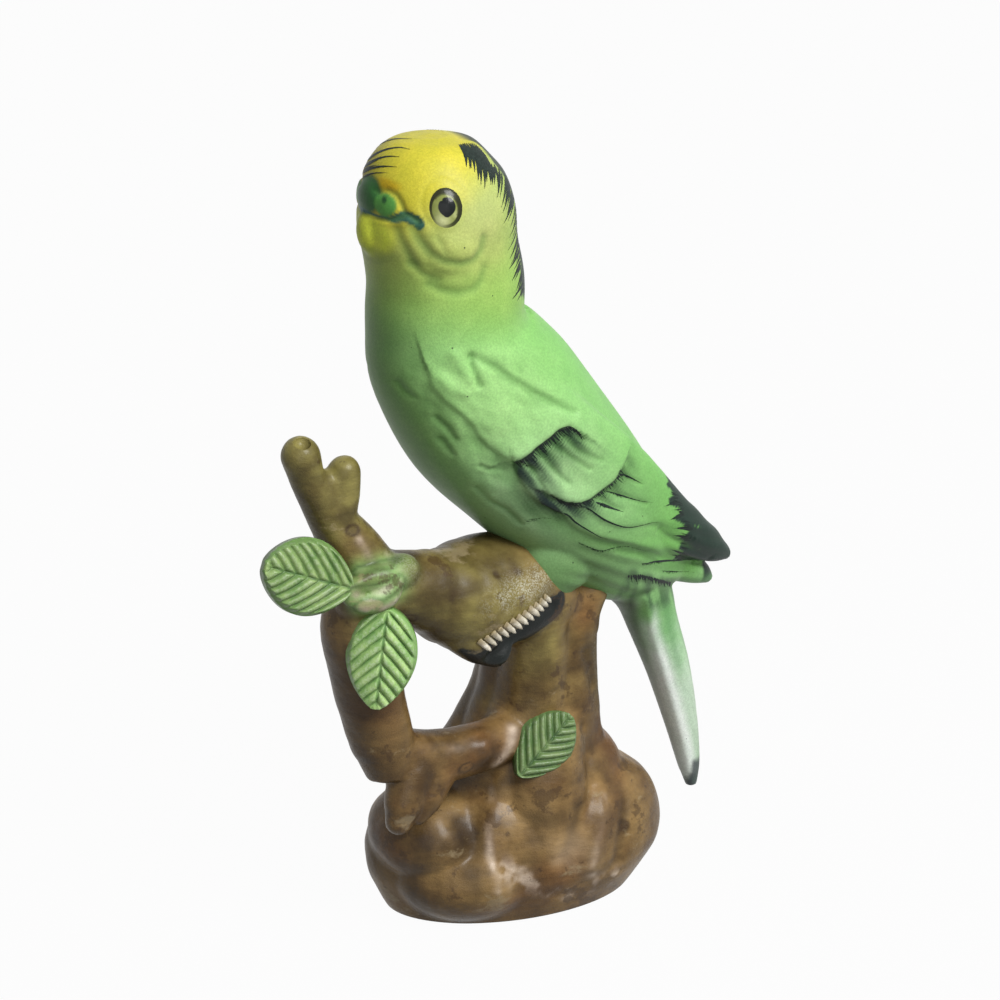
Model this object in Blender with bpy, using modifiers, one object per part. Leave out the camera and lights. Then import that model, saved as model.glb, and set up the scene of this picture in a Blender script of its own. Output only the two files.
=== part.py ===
"""Cast figurine of a parakeet perched on a forked, leafy stump, fired and painted in one piece."""

import math

import bmesh
import bpy
import numpy as np
from mathutils import Matrix, Vector

MM = 0.001

# Main sizes: leaf to wing tip, flank to flank, foot to crown. The stations below are read on a
# figurine of the modelled sizes and are stretched to these.
LENGTH = 101.0 * MM
BREADTH = 38.1 * MM
HEIGHT = 149.0 * MM
MODELLED = (101.0, 38.1, 149.0)

# Sculpt: grid of the blend, rounds of easing, facets kept on the hand-over shape
VOXEL = 0.5 * MM
EASE_ROUNDS = 8
FACETS = 11300
RING_SIDES = 64
SPAN_STEPS = 6

# Small blind vent in the flat foot, off its middle
VENT_RADIUS = 1.8
VENT_DEPTH = 6.0
VENT_AT = (6.0, 2.0)

# Body down its middle line: x, z, half depth across the line, half width (mm)
BODY = (
    (-16.8, 149.0, 4.2, 4.0),
    (-16.8, 146.8, 8.2, 7.8),
    (-16.6, 142.0, 12.1, 11.8),
    (-15.7, 135.4, 13.8, 13.6),
    (-14.8, 128.8, 13.5, 13.4),
    (-13.9, 122.4, 13.9, 13.6),
    (-14.0, 115.4, 14.2, 14.1),
    (-12.2, 108.6, 15.8, 15.5),
    (-5.1, 98.1, 17.5, 17.2),
    (4.0, 87.2, 16.6, 16.4),
    (11.6, 78.4, 15.4, 15.2),
    (18.2, 70.4, 13.6, 13.0),
    (24.0, 64.0, 10.4, 9.6),
    (31.0, 60.6, 6.0, 6.0),
    (36.5, 59.0, 2.4, 3.0),
)

# One wing: x, z, half height across its line, half thickness, offset from the middle
WING = (
    (-13.4, 108.6, 2.2, 2.0, 12.6),
    (-10.4, 105.4, 5.6, 3.0, 13.0),
    (-3.8, 99.6, 7.8, 3.6, 13.6),
    (3.6, 92.6, 8.4, 3.6, 13.4),
    (11.4, 85.4, 8.6, 3.6, 12.2),
    (19.4, 78.2, 7.8, 3.4, 10.0),
    (27.6, 71.8, 6.0, 3.2, 7.4),
    (35.2, 66.6, 4.2, 3.0, 5.0),
    (41.2, 62.2, 2.8, 2.6, 3.0),
    (45.2, 59.6, 0.9, 1.4, 2.0),
)

# Saddle of the folded wings over the back
SADDLE = (
    (2.0, 98.0, 6.0, 8.0),
    (13.0, 86.0, 8.0, 9.4),
    (22.0, 77.0, 7.4, 8.0),
    (31.0, 69.4, 5.4, 5.6),
    (39.0, 63.4, 3.4, 3.6),
    (44.4, 59.8, 1.2, 2.0),
)

# Flight-feather tips showing under the wings
UNDER_TIP = (
    (26.0, 64.0, 5.0, 5.6),
    (33.4, 60.0, 3.8, 4.4),
    (39.2, 56.8, 2.7, 3.2),
    (42.2, 54.6, 1.1, 1.6),
)

TAIL = (
    (19.0, 66.0, 7.0, 7.0),
    (24.4, 59.6, 6.4, 6.6),
    (27.6, 54.6, 5.6, 6.0),
    (29.8, 48.3, 4.9, 5.2),
    (33.9, 36.7, 4.2, 4.3),
    (37.0, 25.2, 3.3, 3.2),
    (39.0, 15.9, 2.3, 2.2),
    (39.8, 10.4, 1.1, 1.2),
)

# Lobes of the bird: centre, half sizes; a side one is made on both sides
CERE = ((-26.4, 0.0, 139.0), (3.2, 5.0, 4.2))
BEAK = ((-27.2, 0.0, 133.4), (3.2, 3.6, 4.6))
CHIN = ((-23.0, 0.0, 128.2), (4.6, 6.2, 5.2))
CHEEK = ((-17.0, 8.0, 131.6), (7.0, 6.2, 6.6))
EYE = ((-18.6, 9.6, 138.6), (3.2, 3.2, 3.6))
THIGH = ((5.8, 6.8, 69.0), (7.0, 5.4, 7.6))
VENT_FLUFF = ((19.6, 0.0, 59.6), (3.8, 5.6, 4.4))

# Stump and branches: x, y, z, radius
TRUNK = (
    (9.6, 0.0, 61.0, 6.4),
    (9.2, -0.4, 54.5, 7.1),
    (8.4, -0.4, 46.6, 7.6),
    (8.4, -0.2, 36.2, 8.5),
    (9.0, 0.0, 27.5, 9.3),
    (10.0, 0.0, 20.0, 12.2),
    (9.0, 0.0, 12.0, 15.0),
)
TRUNK_FRONT = (
    (2.0, -3.8, 57.0, 6.2),
    (2.6, -2.8, 48.0, 6.6),
    (2.2, -2.2, 40.0, 7.2),
    (0.4, -2.2, 31.0, 8.6),
    (-1.6, -2.4, 22.0, 9.6),
)
APRON = (
    (3.0, -4.0, 34.0, 7.0),
    (2.0, -7.2, 25.0, 8.4),
    (1.0, -9.2, 14.0, 8.8),
)
HORN = (
    (10.4, -2.0, 54.0, 5.8),
    (13.6, -3.8, 59.2, 3.6),
    (15.8, -4.4, 62.2, 1.9),
)
PERCH = (
    (-32.4, -8.0, 72.2, 6.0),
    (-27.2, -8.0, 70.3, 6.4),
    (-21.8, -7.6, 68.0, 7.5),
    (-17.4, -6.8, 66.0, 8.8),
    (-12.6, -5.2, 64.4, 10.3),
    (-6.0, -3.4, 63.4, 10.6),
    (3.0, -1.0, 60.4, 9.0),
    (9.6, 0.0, 57.0, 7.0),
)
LIP = (
    (-7.8, -9.4, 53.6, 3.0),
    (-12.2, -9.4, 57.0, 4.3),
    (-16.4, -8.8, 61.2, 4.8),
)
TWIG = (
    (-45.7, -8.0, 98.2, 3.6),
    (-44.6, -8.0, 93.8, 3.2),
    (-42.2, -8.0, 89.0, 3.5),
    (-39.2, -8.0, 83.8, 4.4),
    (-35.6, -8.0, 77.6, 5.4),
    (-31.6, -8.0, 71.0, 6.0),
)
STUB = (
    (-37.6, -8.0, 93.9, 3.0),
    (-38.2, -8.0, 89.6, 3.3),
    (-40.0, -8.0, 85.0, 3.9),
)
CROTCH = ((-41.4, -8.0, 91.4), (2.8, 2.8, 3.4))
SIDE_LIMB = (
    (-32.4, -8.0, 73.0, 5.8),
    (-35.6, -8.0, 65.4, 6.8),
    (-34.8, -8.0, 57.8, 6.6),
    (-33.4, -8.0, 49.2, 6.1),
    (-31.6, -8.0, 41.5, 6.0),
)
ELBOW = (
    (-30.4, -9.0, 34.4, 4.5),
    (-31.0, -8.6, 38.5, 5.3),
    (-31.8, -8.2, 43.0, 5.8),
)
LOW_LIMB = (
    (-30.6, -8.0, 38.6, 4.8),
    (-25.0, -8.0, 35.6, 5.4),
    (-18.0, -8.0, 34.6, 5.0),
    (-11.5, -7.4, 34.5, 4.8),
    (-4.0, -5.4, 34.0, 4.8),
    (6.0, -2.0, 32.0, 6.0),
)
BUTTRESS = (
    (4.6, 5.0, 57.0, 5.2),
    (2.6, 6.4, 48.0, 5.5),
    (0.4, 7.4, 38.0, 5.4),
    (-3.6, 7.6, 30.0, 5.8),
    (-8.6, 6.6, 22.0, 7.4),
)
WEB = (
    (1.6, 2.0, 56.0, 5.0),
    (0.6, 2.4, 47.0, 5.4),
    (-0.8, 2.8, 38.0, 5.6),
    (-3.6, 3.0, 30.0, 6.0),
)
ROOT = (
    (-26.8, -10.2, 34.0, 4.2),
    (-29.2, -12.0, 29.4, 3.6),
    (-30.6, -12.6, 26.4, 2.5),
)
SIDE_ROOT = (
    (-21.8, -10.0, 32.4, 3.8),
    (-24.6, -12.2, 29.0, 2.8),
    (-26.6, -13.0, 26.6, 1.8),
)

STALK = (
    (-28.6, -11.6, 74.8, 3.2),
    (-32.0, -13.6, 75.4, 2.8),
    (-36.0, -14.2, 75.8, 2.1),
    (-40.6, -14.4, 74.8, 1.6),
)
STALK_FORK = (
    (-31.6, -14.2, 74.6, 2.2),
    (-33.6, -15.2, 72.4, 2.2),
    (-37.2, -15.2, 71.8, 1.9),
    (-40.2, -14.8, 73.2, 1.4),
)
STALK_BED = ((-35.0, -11.4, 71.4), (6.4, 4.0, 4.6))

# Leaves: stalk end, tip, way the face looks, half width, share of the length where it is widest
LEAVES = (
    ("upper leaf", (-40.0, -14.6, 75.2), (-55.4, -13.2, 82.0), (-0.34, -0.86, 0.38), 6.7, 0.50),
    ("hanging leaf", (-33.8, -15.2, 70.4), (-36.4, -15.6, 52.0), (-0.40, -0.88, 0.24), 6.2, 0.46),
    ("low leaf", (-5.8, -11.2, 29.2), (5.8, -10.0, 38.4), (-0.30, -0.90, 0.30), 5.3, 0.54),
)
LEAF_THICK = 2.6
LEAF_ARCH = 0.9
LEAF_FULL = 0.60
LEAF_STEPS = 24
LEAF_VEINS = 7
VEIN_RISE = 0.9
VEIN_WIDTH = 0.42
VEIN_DEPTH = 0.5

# Carving of either flank of the bird, read as x, z. Stepped edges: the upper side stands proud.
# Each is its height, how far it fades out, and its line.
STEPS = (
    (0.55, 4.5, ((-23.0, 110.6), (-22.4, 108.0), (-20.4, 105.2), (-17.8, 102.8), (-16.2, 100.8),
                 (-15.2, 98.8), (-13.4, 96.4), (-11.2, 94.6), (-8.8, 93.4))),
    (0.60, 3.0, ((-8.8, 92.6), (-8.2, 90.8), (-6.0, 87.0), (-2.8, 83.4), (0.0, 81.8))),
    (0.75, 3.6, ((-8.8, 93.6), (-7.0, 94.4), (-4.8, 95.7), (-2.8, 96.8), (-1.0, 98.0), (1.4, 98.4),
                 (3.6, 96.8))),
    (0.75, 3.6, ((-1.2, 85.4), (1.6, 83.7), (4.6, 83.0), (6.8, 83.4), (9.2, 84.6), (11.6, 85.8),
                 (12.8, 87.4))),
    (0.70, 3.4, ((0.2, 81.6), (2.2, 80.0), (4.8, 77.4), (8.6, 75.0), (12.4, 73.4), (17.0, 71.6),
                 (23.0, 68.0), (30.0, 63.4), (36.0, 60.6))),
    (0.40, 2.6, ((4.2, 82.0), (6.8, 80.4), (9.6, 78.0), (13.6, 76.0), (18.4, 75.0), (24.0, 73.4),
                 (32.0, 68.4))),
)
# Scored lines: half width, depth (less than nothing for a ridge) and line
LINES = (
    (0.75, 0.75, ((-26.9, 135.5), (-26.5, 133.6), (-25.6, 131.4), (-24.8, 129.6))),
    (0.75, 0.60, ((-24.8, 129.4), (-23.4, 127.8), (-21.2, 126.9))),
    (0.80, 0.80, ((-25.0, 135.9), (-24.0, 133.6), (-22.6, 131.6), (-20.8, 130.3), (-17.6, 129.6),
                  (-15.3, 130.0), (-13.7, 131.5), (-13.3, 133.6))),
    (0.80, 0.70, ((-22.4, 126.0), (-20.8, 125.0), (-18.0, 124.4), (-15.2, 124.9), (-13.8, 126.2),
                  (-13.2, 128.2))),
    (0.60, 0.25, ((-21.5, 134.6), (-20.4, 131.8))),
    (0.50, 0.70, ((-28.8, 136.7), (-27.8, 136.8), (-26.5, 137.5), (-25.5, 138.2), (-24.2, 137.2))),
    (0.45, 0.45, ((-28.3, 141.0), (-27.2, 141.6), (-26.5, 141.1), (-26.1, 140.0), (-25.9, 138.8))),
    (0.70, 0.60, ((-16.2, 113.3), (-12.2, 111.0), (-8.6, 108.0), (-5.4, 105.6), (-1.8, 103.4),
                  (3.0, 100.4))),
    (0.55, 0.60, ((-16.4, 113.0), (-15.9, 110.2), (-15.0, 107.8))),
    (1.20, -0.55, ((-18.9, 113.4), (-17.7, 111.0), (-16.9, 109.4))),
    (1.00, -0.45, ((-20.9, 109.6), (-19.2, 107.6), (-17.4, 106.8))),
    (0.50, 0.45, ((-21.6, 101.8), (-19.8, 99.7), (-18.5, 97.7))),
    (0.50, 0.35, ((-20.4, 97.4), (-18.4, 94.6))),
    (0.60, 0.30, ((-26.6, 107.7), (-25.7, 106.3), (-24.8, 105.4))),
    (0.50, 0.35, ((-14.2, 92.4), (-12.6, 91.6), (-10.8, 91.2))),
    (0.50, 0.45, ((-7.0, 93.2), (-4.6, 89.8), (-3.0, 86.8), (-0.8, 84.4))),
    (0.50, 0.45, ((-4.9, 95.0), (-1.7, 91.0), (1.8, 87.2))),
    (0.50, 0.40, ((-2.3, 96.2), (1.8, 92.6), (6.2, 89.2))),
    (0.50, 0.35, ((-0.2, 97.2), (3.2, 93.6), (8.6, 90.4))),
    (0.45, 0.35, ((7.6, 83.2), (11.0, 81.0), (14.0, 79.2))),
    (0.45, 0.35, ((9.8, 84.0), (14.6, 81.8), (20.0, 78.8))),
    (0.45, 0.30, ((12.9, 87.4), (14.6, 85.7), (18.2, 83.4))),
    (0.50, 0.30, ((-13.8, 87.6), (-10.8, 84.2), (-8.0, 82.2), (-4.8, 78.8))),
    (0.50, 0.30, ((14.0, 70.6), (19.0, 68.6), (25.0, 64.8))),
    (0.60, 0.40, ((24.0, 72.2), (32.0, 66.0), (39.0, 61.4))),
    (0.80, -0.45, ((25.0, 56.0), (28.0, 46.1), (32.2, 34.2), (35.8, 23.4), (38.4, 14.4))),
)
EYE_SPOT = (-19.8, 139.5)
EYE_RING = (3.2, 3.7)
PUPIL_RING = (1.7, 2.0)

# Line between bird and wood, x and z
WATERLINE = ((-33.5, 200.0), (-32.0, 92.0), (-22.0, 84.0), (-12.0, 77.5), (0.0, 70.5), (6.0, 62.6),
             (14.0, 61.0), (17.0, 59.6), (19.0, 56.0), (22.0, 50.0), (30.0, 30.0), (38.0, 8.0))

# Torn bark along the front of the perch: splinters over a hollow, x and z
TEAR = ((-15.6, 60.2), (-12.8, 61.8), (-9.2, 63.2), (-5.4, 64.4), (-1.6, 65.2))
TEAR_TIPS = ((-13.4, 57.8), (-10.8, 59.4), (-7.4, 60.9), (-3.4, 62.3), (0.8, 63.0))
TEAR_FLOOR = ((-11.4, 55.0), (-8.4, 56.6), (-5.4, 58.4), (-2.0, 60.2), (1.6, 61.8))
SPLINTERS = 10
SPLINTER_RISE = 0.7
SPLINTER_HALF = 0.45
TEAR_DEPTH = 1.3
BARK_GRAIN = 0.12

# Folds of the roots and knots in the limbs: half width, depth and line, x, y and z
FOLDS = (
    (2.2, -0.9, ((-6.0, -7.0, 27.0), (-9.4, -9.4, 23.0), (-12.2, -12.4, 19.0), (-12.8, -14.6, 14.0),
                 (-12.6, -16.8, 9.0))),
    (3.0, 0.9, ((-1.6, -12.6, 23.0), (-6.0, -16.6, 16.0), (-6.4, -18.4, 9.0))),
    (2.0, -1.1, ((8.6, -9.6, 33.0), (11.5, -11.6, 27.8), (11.9, -14.2, 22.4), (9.4, -17.0, 16.0),
                 (6.4, -18.4, 10.0))),
    (1.6, 1.1, ((17.8, -12.4, 24.0), (16.9, -14.6, 20.2), (14.6, -17.2, 15.4), (12.4, -18.4, 9.0))),
    (1.8, 0.8, ((5.0, -11.6, 27.6), (4.4, -14.8, 20.4), (1.6, -18.0, 13.0))),
    (3.0, 1.3, ((-16.8, -9.6, 20.6), (-14.8, -12.0, 17.2))),
    (1.1, 1.0, ((10.8, -8.2, 48.6), (12.2, -8.0, 45.6), (13.2, -7.6, 41.6))),
    (1.5, -0.5, ((12.8, -5.8, 54.0), (14.0, -5.4, 47.0), (14.8, -5.4, 39.0), (16.0, -5.4, 30.0))),
    (0.9, 0.8, ((9.7, -9.4, 34.6), (9.9, -9.2, 33.8))),
    (1.6, -0.9, ((-12.6, -12.4, 35.0), (-12.2, -12.0, 37.2))),
    (1.8, -0.8, ((-33.0, -2.0, 77.0), (-30.0, -5.0, 78.0))),
    (0.9, 0.5, ((-37.2, -12.2, 84.8), (-38.8, -12.4, 85.2))),
    (0.8, 0.4, ((-10.6, -13.0, 71.2), (-5.8, -11.6, 69.8))),
    (1.0, 0.9, ((-4.6, -9.6, 54.6), (-3.4, -9.4, 53.4), (-3.2, -9.2, 51.8))),
)

# Small hollow in the rounded end of the twig: size, and the way it looks
HOLLOW_RADIUS = 1.3
HOLLOW_LOOK = (-0.06, -0.42, 0.90)

# Base mound: height, middle x and y, half length, half breadth
MOUND = (
    (-8.0, -3.4, -2.2, 19.4, 10.2),
    (-2.0, -2.6, -1.8, 22.8, 12.6),
    (2.0, -1.8, -1.2, 25.6, 14.6),
    (8.0, -0.4, -0.2, 28.8, 17.6),
    (13.0, 0.2, 0.4, 28.8, 18.0),
    (18.0, 0.6, 0.6, 26.8, 16.6),
    (22.0, 1.0, 0.6, 22.6, 13.6),
    (25.0, 2.4, 0.4, 15.0, 9.4),
    (26.6, 4.0, 0.0, 5.0, 4.0),
)
MOUND_TURN = math.radians(-11.0)
MOUND_LOBES = (
    ((-11.0, -3.0, 8.0), (16.0, 14.0, 10.0)),
    ((-18.2, 0.0, 15.6), (11.4, 12.4, 9.4)),
    ((16.0, -2.0, 11.0), (12.0, 13.0, 11.0)),
)

# Paints, in the order of the record's slots
PAINTS = (
    ("green bisque", (0.21, 0.52, 0.16)),
    ("yellow bisque", (0.64, 0.62, 0.10)),
    ("bark brown", (0.17, 0.11, 0.055)),
    ("leaf green", (0.18, 0.34, 0.12)),
)
GREEN, YELLOW, BARK, LEAF = range(len(PAINTS))
PAINT_ROUGHNESS = 0.45
YELLOW_FROM = 128.0


def spread(rows):
    """Return the rows of a station list joined by a smooth line through them."""
    pts = np.array(rows, dtype=float)
    ends = np.vstack([2 * pts[0] - pts[1], pts, 2 * pts[-1] - pts[-2]])
    out = []
    for i in range(len(pts) - 1):
        a, b, c, d = ends[i:i + 4]
        for t in np.arange(SPAN_STEPS) / SPAN_STEPS:
            out.append(0.5 * (2 * b + (c - a) * t + (2 * a - 5 * b + 4 * c - d) * t * t
                              + (3 * b - a - 3 * c + d) * t ** 3))
    out.append(pts[-1])
    return np.array(out)


def add_mesh(name, verts, faces, home):
    """Return a new object of the given points (mm) and faces in a collection."""
    mesh = bpy.data.meshes.new(name)
    mesh.from_pydata([Vector(v) * MM for v in verts], [], faces)
    mesh.update()
    obj = bpy.data.objects.new(name, mesh)
    home.objects.link(obj)
    return obj


def loft(name, rings, home):
    """Return a closed skin over rings of points, with a point at either end."""
    count = len(rings[0])
    verts = [p for ring in rings for p in ring]
    faces = []
    for r in range(len(rings) - 1):
        for s in range(count):
            a, b = r * count + s, r * count + (s + 1) % count
            faces.append((a, b, b + count, a + count))
    for ring, first, turn in ((rings[0], 0, -1), (rings[-1], (len(rings) - 1) * count, 1)):
        tip = len(verts)
        verts.append(np.mean(ring, axis=0))
        for s in range(count):
            edge = (first + s, first + (s + 1) % count)
            faces.append((*edge[::turn], tip))
    obj = add_mesh(name, verts, faces, home)
    face_out(obj)
    return obj


def face_out(obj):
    """Turn every face of a mesh outwards."""
    bm = bmesh.new()
    bm.from_mesh(obj.data)
    bmesh.ops.recalc_face_normals(bm, faces=bm.faces)
    bm.to_mesh(obj.data)
    bm.free()


def spine_loft(name, rows, home, side=0.0):
    """Return a loft of ovals square to a line in the bird's middle plane.

    A row is x, z, half depth, half width and, for a wing, the offset to its side."""
    pts = spread(rows)
    line = pts[:, :2]
    run = np.gradient(line, axis=0)
    run /= np.linalg.norm(run, axis=1, keepdims=True)
    turns = np.linspace(0.0, 2 * math.pi, RING_SIDES, endpoint=False)
    rings = []
    for i, row in enumerate(pts):
        across = np.array([-run[i, 1], run[i, 0]])
        offset = side * row[4] if side else 0.0
        rings.append([(row[0] + across[0] * row[2] * math.cos(a), offset + row[3] * math.sin(a),
                       row[1] + across[1] * row[2] * math.cos(a)) for a in turns])
    return loft(name, rings, home)


def limb(name, rows, home, round_start=True):
    """Return a branch made as a bevelled curve whose radius follows its stations.

    A ball sits at each station, so that bends stay full; a sawn start goes without."""
    curve = bpy.data.curves.new(name, "CURVE")
    curve.dimensions = "3D"
    curve.bevel_depth = MM
    curve.bevel_resolution = 14
    curve.use_fill_caps = True
    line = curve.splines.new("POLY")
    pts = spread(rows)
    line.points.add(len(pts) - 1)
    for point, row in zip(line.points, pts):
        point.co = (row[0] * MM, row[1] * MM, row[2] * MM, 1.0)
        point.radius = row[3]
    holder = bpy.data.objects.new(name + " line", curve)
    home.objects.link(holder)
    depsgraph = bpy.context.evaluated_depsgraph_get()
    mesh = bpy.data.meshes.new_from_object(holder.evaluated_get(depsgraph))
    bpy.data.objects.remove(holder)
    bpy.data.curves.remove(curve)
    obj = bpy.data.objects.new(name, mesh)
    home.objects.link(obj)
    bm = bmesh.new()
    bm.from_mesh(mesh)
    bmesh.ops.remove_doubles(bm, verts=bm.verts, dist=0.01 * MM)
    bmesh.ops.recalc_face_normals(bm, faces=bm.faces)
    bm.to_mesh(mesh)
    bm.free()
    for row in rows[1 - round_start:]:
        lobe(name + " joint", row[:3], (row[3],) * 3, home)
    return obj


def lobe(name, centre, radii, home, tilt=0.0):
    """Return an egg-shaped lobe, turned about the width of the bird by tilt."""
    mesh = bpy.data.meshes.new(name)
    bm = bmesh.new()
    bmesh.ops.create_uvsphere(bm, u_segments=28, v_segments=18, radius=1.0)
    place = (Matrix.Translation(Vector(centre) * MM) @ Matrix.Rotation(tilt, 4, "Y")
             @ Matrix.Diagonal((*[r * MM for r in radii], 1.0)))
    bmesh.ops.transform(bm, matrix=place, verts=bm.verts)
    bm.to_mesh(mesh)
    bm.free()
    obj = bpy.data.objects.new(name, mesh)
    home.objects.link(obj)
    return obj


def both_sides(name, shape, home, tilt=0.0):
    """Add a lobe of the bird on either side of its middle plane."""
    (x, y, z), radii = shape
    for side in (-1, 1):
        lobe(name, (x, side * y, z), radii, home, tilt)


def leaf(name, stem, tip, facing, half_width, widest, home):
    """Add a leaf: an arched blade of pointed outline, thickened by Solidify."""
    run, across, out = leaf_frame(stem, tip, facing)
    verts, faces = [], []
    for i in range(LEAF_STEPS + 1):
        s = i / LEAF_STEPS
        width = leaf_width(half_width, widest, s)
        for j in range(LEAF_STEPS + 1):
            t = 2 * j / LEAF_STEPS - 1
            drop = LEAF_ARCH * (t * t + (2 * s - 1) ** 2)
            verts.append(np.array(stem) + run * s + across * width * t - out * drop)
    side = LEAF_STEPS + 1
    for i in range(LEAF_STEPS):
        for j in range(LEAF_STEPS):
            a = i * side + j
            faces.append((a, a + 1, a + 1 + side, a + side))
    obj = add_mesh(name, verts, faces, home)
    thick = obj.modifiers.new("thick", "SOLIDIFY")
    thick.thickness = LEAF_THICK * MM
    thick.offset = 0.0
    bake(obj)
    face_out(obj)


def bake(obj):
    """Make the object's modifiers part of its mesh."""
    depsgraph = bpy.context.evaluated_depsgraph_get()
    mesh = bpy.data.meshes.new_from_object(obj.evaluated_get(depsgraph))
    obj.modifiers.clear()
    old = obj.data
    obj.data = mesh
    bpy.data.meshes.remove(old)


def mound(home):
    """Add the base: stacked ovals turned in plan, with two lobes."""
    turns = np.linspace(0.0, 2 * math.pi, 2 * RING_SIDES, endpoint=False)
    c, s = math.cos(MOUND_TURN), math.sin(MOUND_TURN)
    rings = []
    for z, x, y, long, broad in spread(MOUND):
        rings.append([(x + c * long * math.cos(a) - s * broad * math.sin(a),
                       y + s * long * math.cos(a) + c * broad * math.sin(a), z) for a in turns])
    loft("mound", rings, home)
    for centre, radii in MOUND_LOBES:
        lobe("mound lobe", centre, radii, home)


def bird(home):
    """Add the bird's rough masses."""
    spine_loft("body", BODY, home)
    spine_loft("saddle", SADDLE, home)
    spine_loft("under tip", UNDER_TIP, home)
    spine_loft("tail", TAIL, home)
    for side in (-1, 1):
        spine_loft("wing", WING, home, side)
    lobe("cere", *CERE, home)
    lobe("beak", *BEAK, home)
    lobe("chin", *CHIN, home)
    lobe("vent fluff", *VENT_FLUFF, home)
    both_sides("cheek", CHEEK, home)
    both_sides("eye", EYE, home)
    both_sides("thigh", THIGH, home)


def stump(home):
    """Add the stump, its limbs and the base."""
    mound(home)
    for name, rows in (("trunk", TRUNK), ("trunk front", TRUNK_FRONT),
                       ("apron", APRON), ("horn", HORN),
                       ("perch", PERCH), ("twig", TWIG), ("stub", STUB), ("side limb", SIDE_LIMB),
                       ("low limb", LOW_LIMB), ("buttress", BUTTRESS), ("web", WEB), ("root", ROOT),
                       ("side root", SIDE_ROOT), ("stalk", STALK), ("stalk fork", STALK_FORK)):
        limb(name, rows, home)
    limb("lip", LIP, home, round_start=False)
    limb("elbow", ELBOW, home, round_start=False)
    lobe("crotch", *CROTCH, home)
    lobe("stalk bed", *STALK_BED, home)
    for one in LEAVES:
        leaf(*one, home)


def fresh_collection(name):
    """Return a new collection linked to the scene."""
    home = bpy.data.collections.new(name)
    bpy.context.scene.collection.children.link(home)
    return home


def stretch():
    """Return how much larger than modelled the figurine is made along x, y and z."""
    return Vector((LENGTH, BREADTH, HEIGHT)) / MM * Vector([1 / size for size in MODELLED])


def fuse(name, rough, home):
    """Return one skin over every mass of a collection, eased where they meet."""
    joined = bmesh.new()
    for obj in list(rough.objects):
        joined.from_mesh(obj.data)
        bpy.data.objects.remove(obj)
    bmesh.ops.scale(joined, vec=stretch(), verts=joined.verts)
    mesh = bpy.data.meshes.new(name)
    joined.to_mesh(mesh)
    joined.free()
    bpy.data.collections.remove(rough)
    obj = bpy.data.objects.new(name, mesh)
    home.objects.link(obj)
    blend = obj.modifiers.new("blend", "REMESH")
    blend.mode = "VOXEL"
    blend.voxel_size = VOXEL
    ease = obj.modifiers.new("ease", "SMOOTH")
    ease.factor = 0.5
    ease.iterations = EASE_ROUNDS
    bake(obj)
    return obj


def to_line(points, line):
    """Return the distance to a line of spans, and which side each point lies on."""
    line = np.array(line, dtype=float)
    best = np.full(len(points), 1e9)
    side = np.ones(len(points))
    for a, b in zip(line[:-1], line[1:]):
        run = b - a
        gap = points - a
        t = np.clip((gap @ run) / (run @ run), 0.0, 1.0)
        away = np.linalg.norm(gap - t[:, None] * run, axis=1)
        near = away < best
        best[near] = away[near]
        turn = run[0] * gap[:, 1] - run[1] * gap[:, 0]
        side[near] = np.sign(turn[near])
    return best, side


def flank_relief(verts, normals):
    """Return how far the carving of the flanks moves each point outwards (mm)."""
    flat = verts[:, (0, 2)]
    facing = np.clip(np.abs(normals[:, 1]) * 3.0 - 0.3, 0.0, 1.0)
    facing[np.sign(verts[:, 1]) != np.sign(normals[:, 1])] = 0.0
    facing[above_stump(verts) < 0.5] = 0.0
    rise = np.zeros(len(verts))
    for height, reach, line in STEPS:
        away, side = to_line(flat, line)
        rise += height * 0.6 * side * np.tanh(away / 0.35) * np.exp(-(away / reach) ** 2)
    for half, depth, line in LINES:
        away, _ = to_line(flat, line)
        rise -= depth * np.exp(-(away / half) ** 2)
    spot = np.array(EYE_SPOT)
    ring = np.linalg.norm((flat - spot) / EYE_RING, axis=1)
    rise -= 0.55 * np.exp(-((ring - 1.0) / 0.16) ** 2)
    rise += 0.5 * np.exp(-(ring / 0.8) ** 2)
    pupil = np.linalg.norm((flat - spot) / PUPIL_RING, axis=1)
    rise -= 0.25 * np.exp(-((pupil - 1.0) / 0.22) ** 2)
    return rise * facing


def above_stump(verts):
    """Return one where a point belongs to the bird, nought where it is wood."""
    x, y, z = verts.T
    line = np.array(WATERLINE)
    return np.where(z > np.interp(x, line[:, 0], line[:, 1]), 1.0, 0.0)


def bark_relief(verts, normals):
    """Return the carving of the torn bark and the grain of the wood (mm)."""
    flat = verts[:, (0, 2)]
    front = (normals[:, 1] < -0.1) & (verts[:, 1] < -5.0) & (verts[:, 2] < 67.0) & (verts[:, 2] > 49.0)
    rise = np.zeros(len(verts))
    floor, _ = to_line(flat, TEAR_FLOOR)
    rise -= np.where(front, TEAR_DEPTH * np.exp(-(floor / 1.5) ** 2), 0.0)
    tear, tips = share_out(TEAR, SPLINTERS), share_out(TEAR_TIPS, SPLINTERS)
    for root, tip in zip(tear, tips):
        away, _ = to_line(flat, (root, tip))
        rise += np.where(front, SPLINTER_RISE * np.exp(-(away / SPLINTER_HALF) ** 2), 0.0)
    wood = 1.0 - above_stump(verts)
    x, y, z = verts.T
    turn = np.arctan2(y - 1.0, x - 8.0)
    grain = np.sin(9.0 * turn + 1.6 * np.sin(z * 0.21) + 0.9 * np.sin(x * 0.33))
    return rise + wood * BARK_GRAIN * grain * np.clip(z / 12.0, 0.0, 1.0) + creases(verts)


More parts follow.
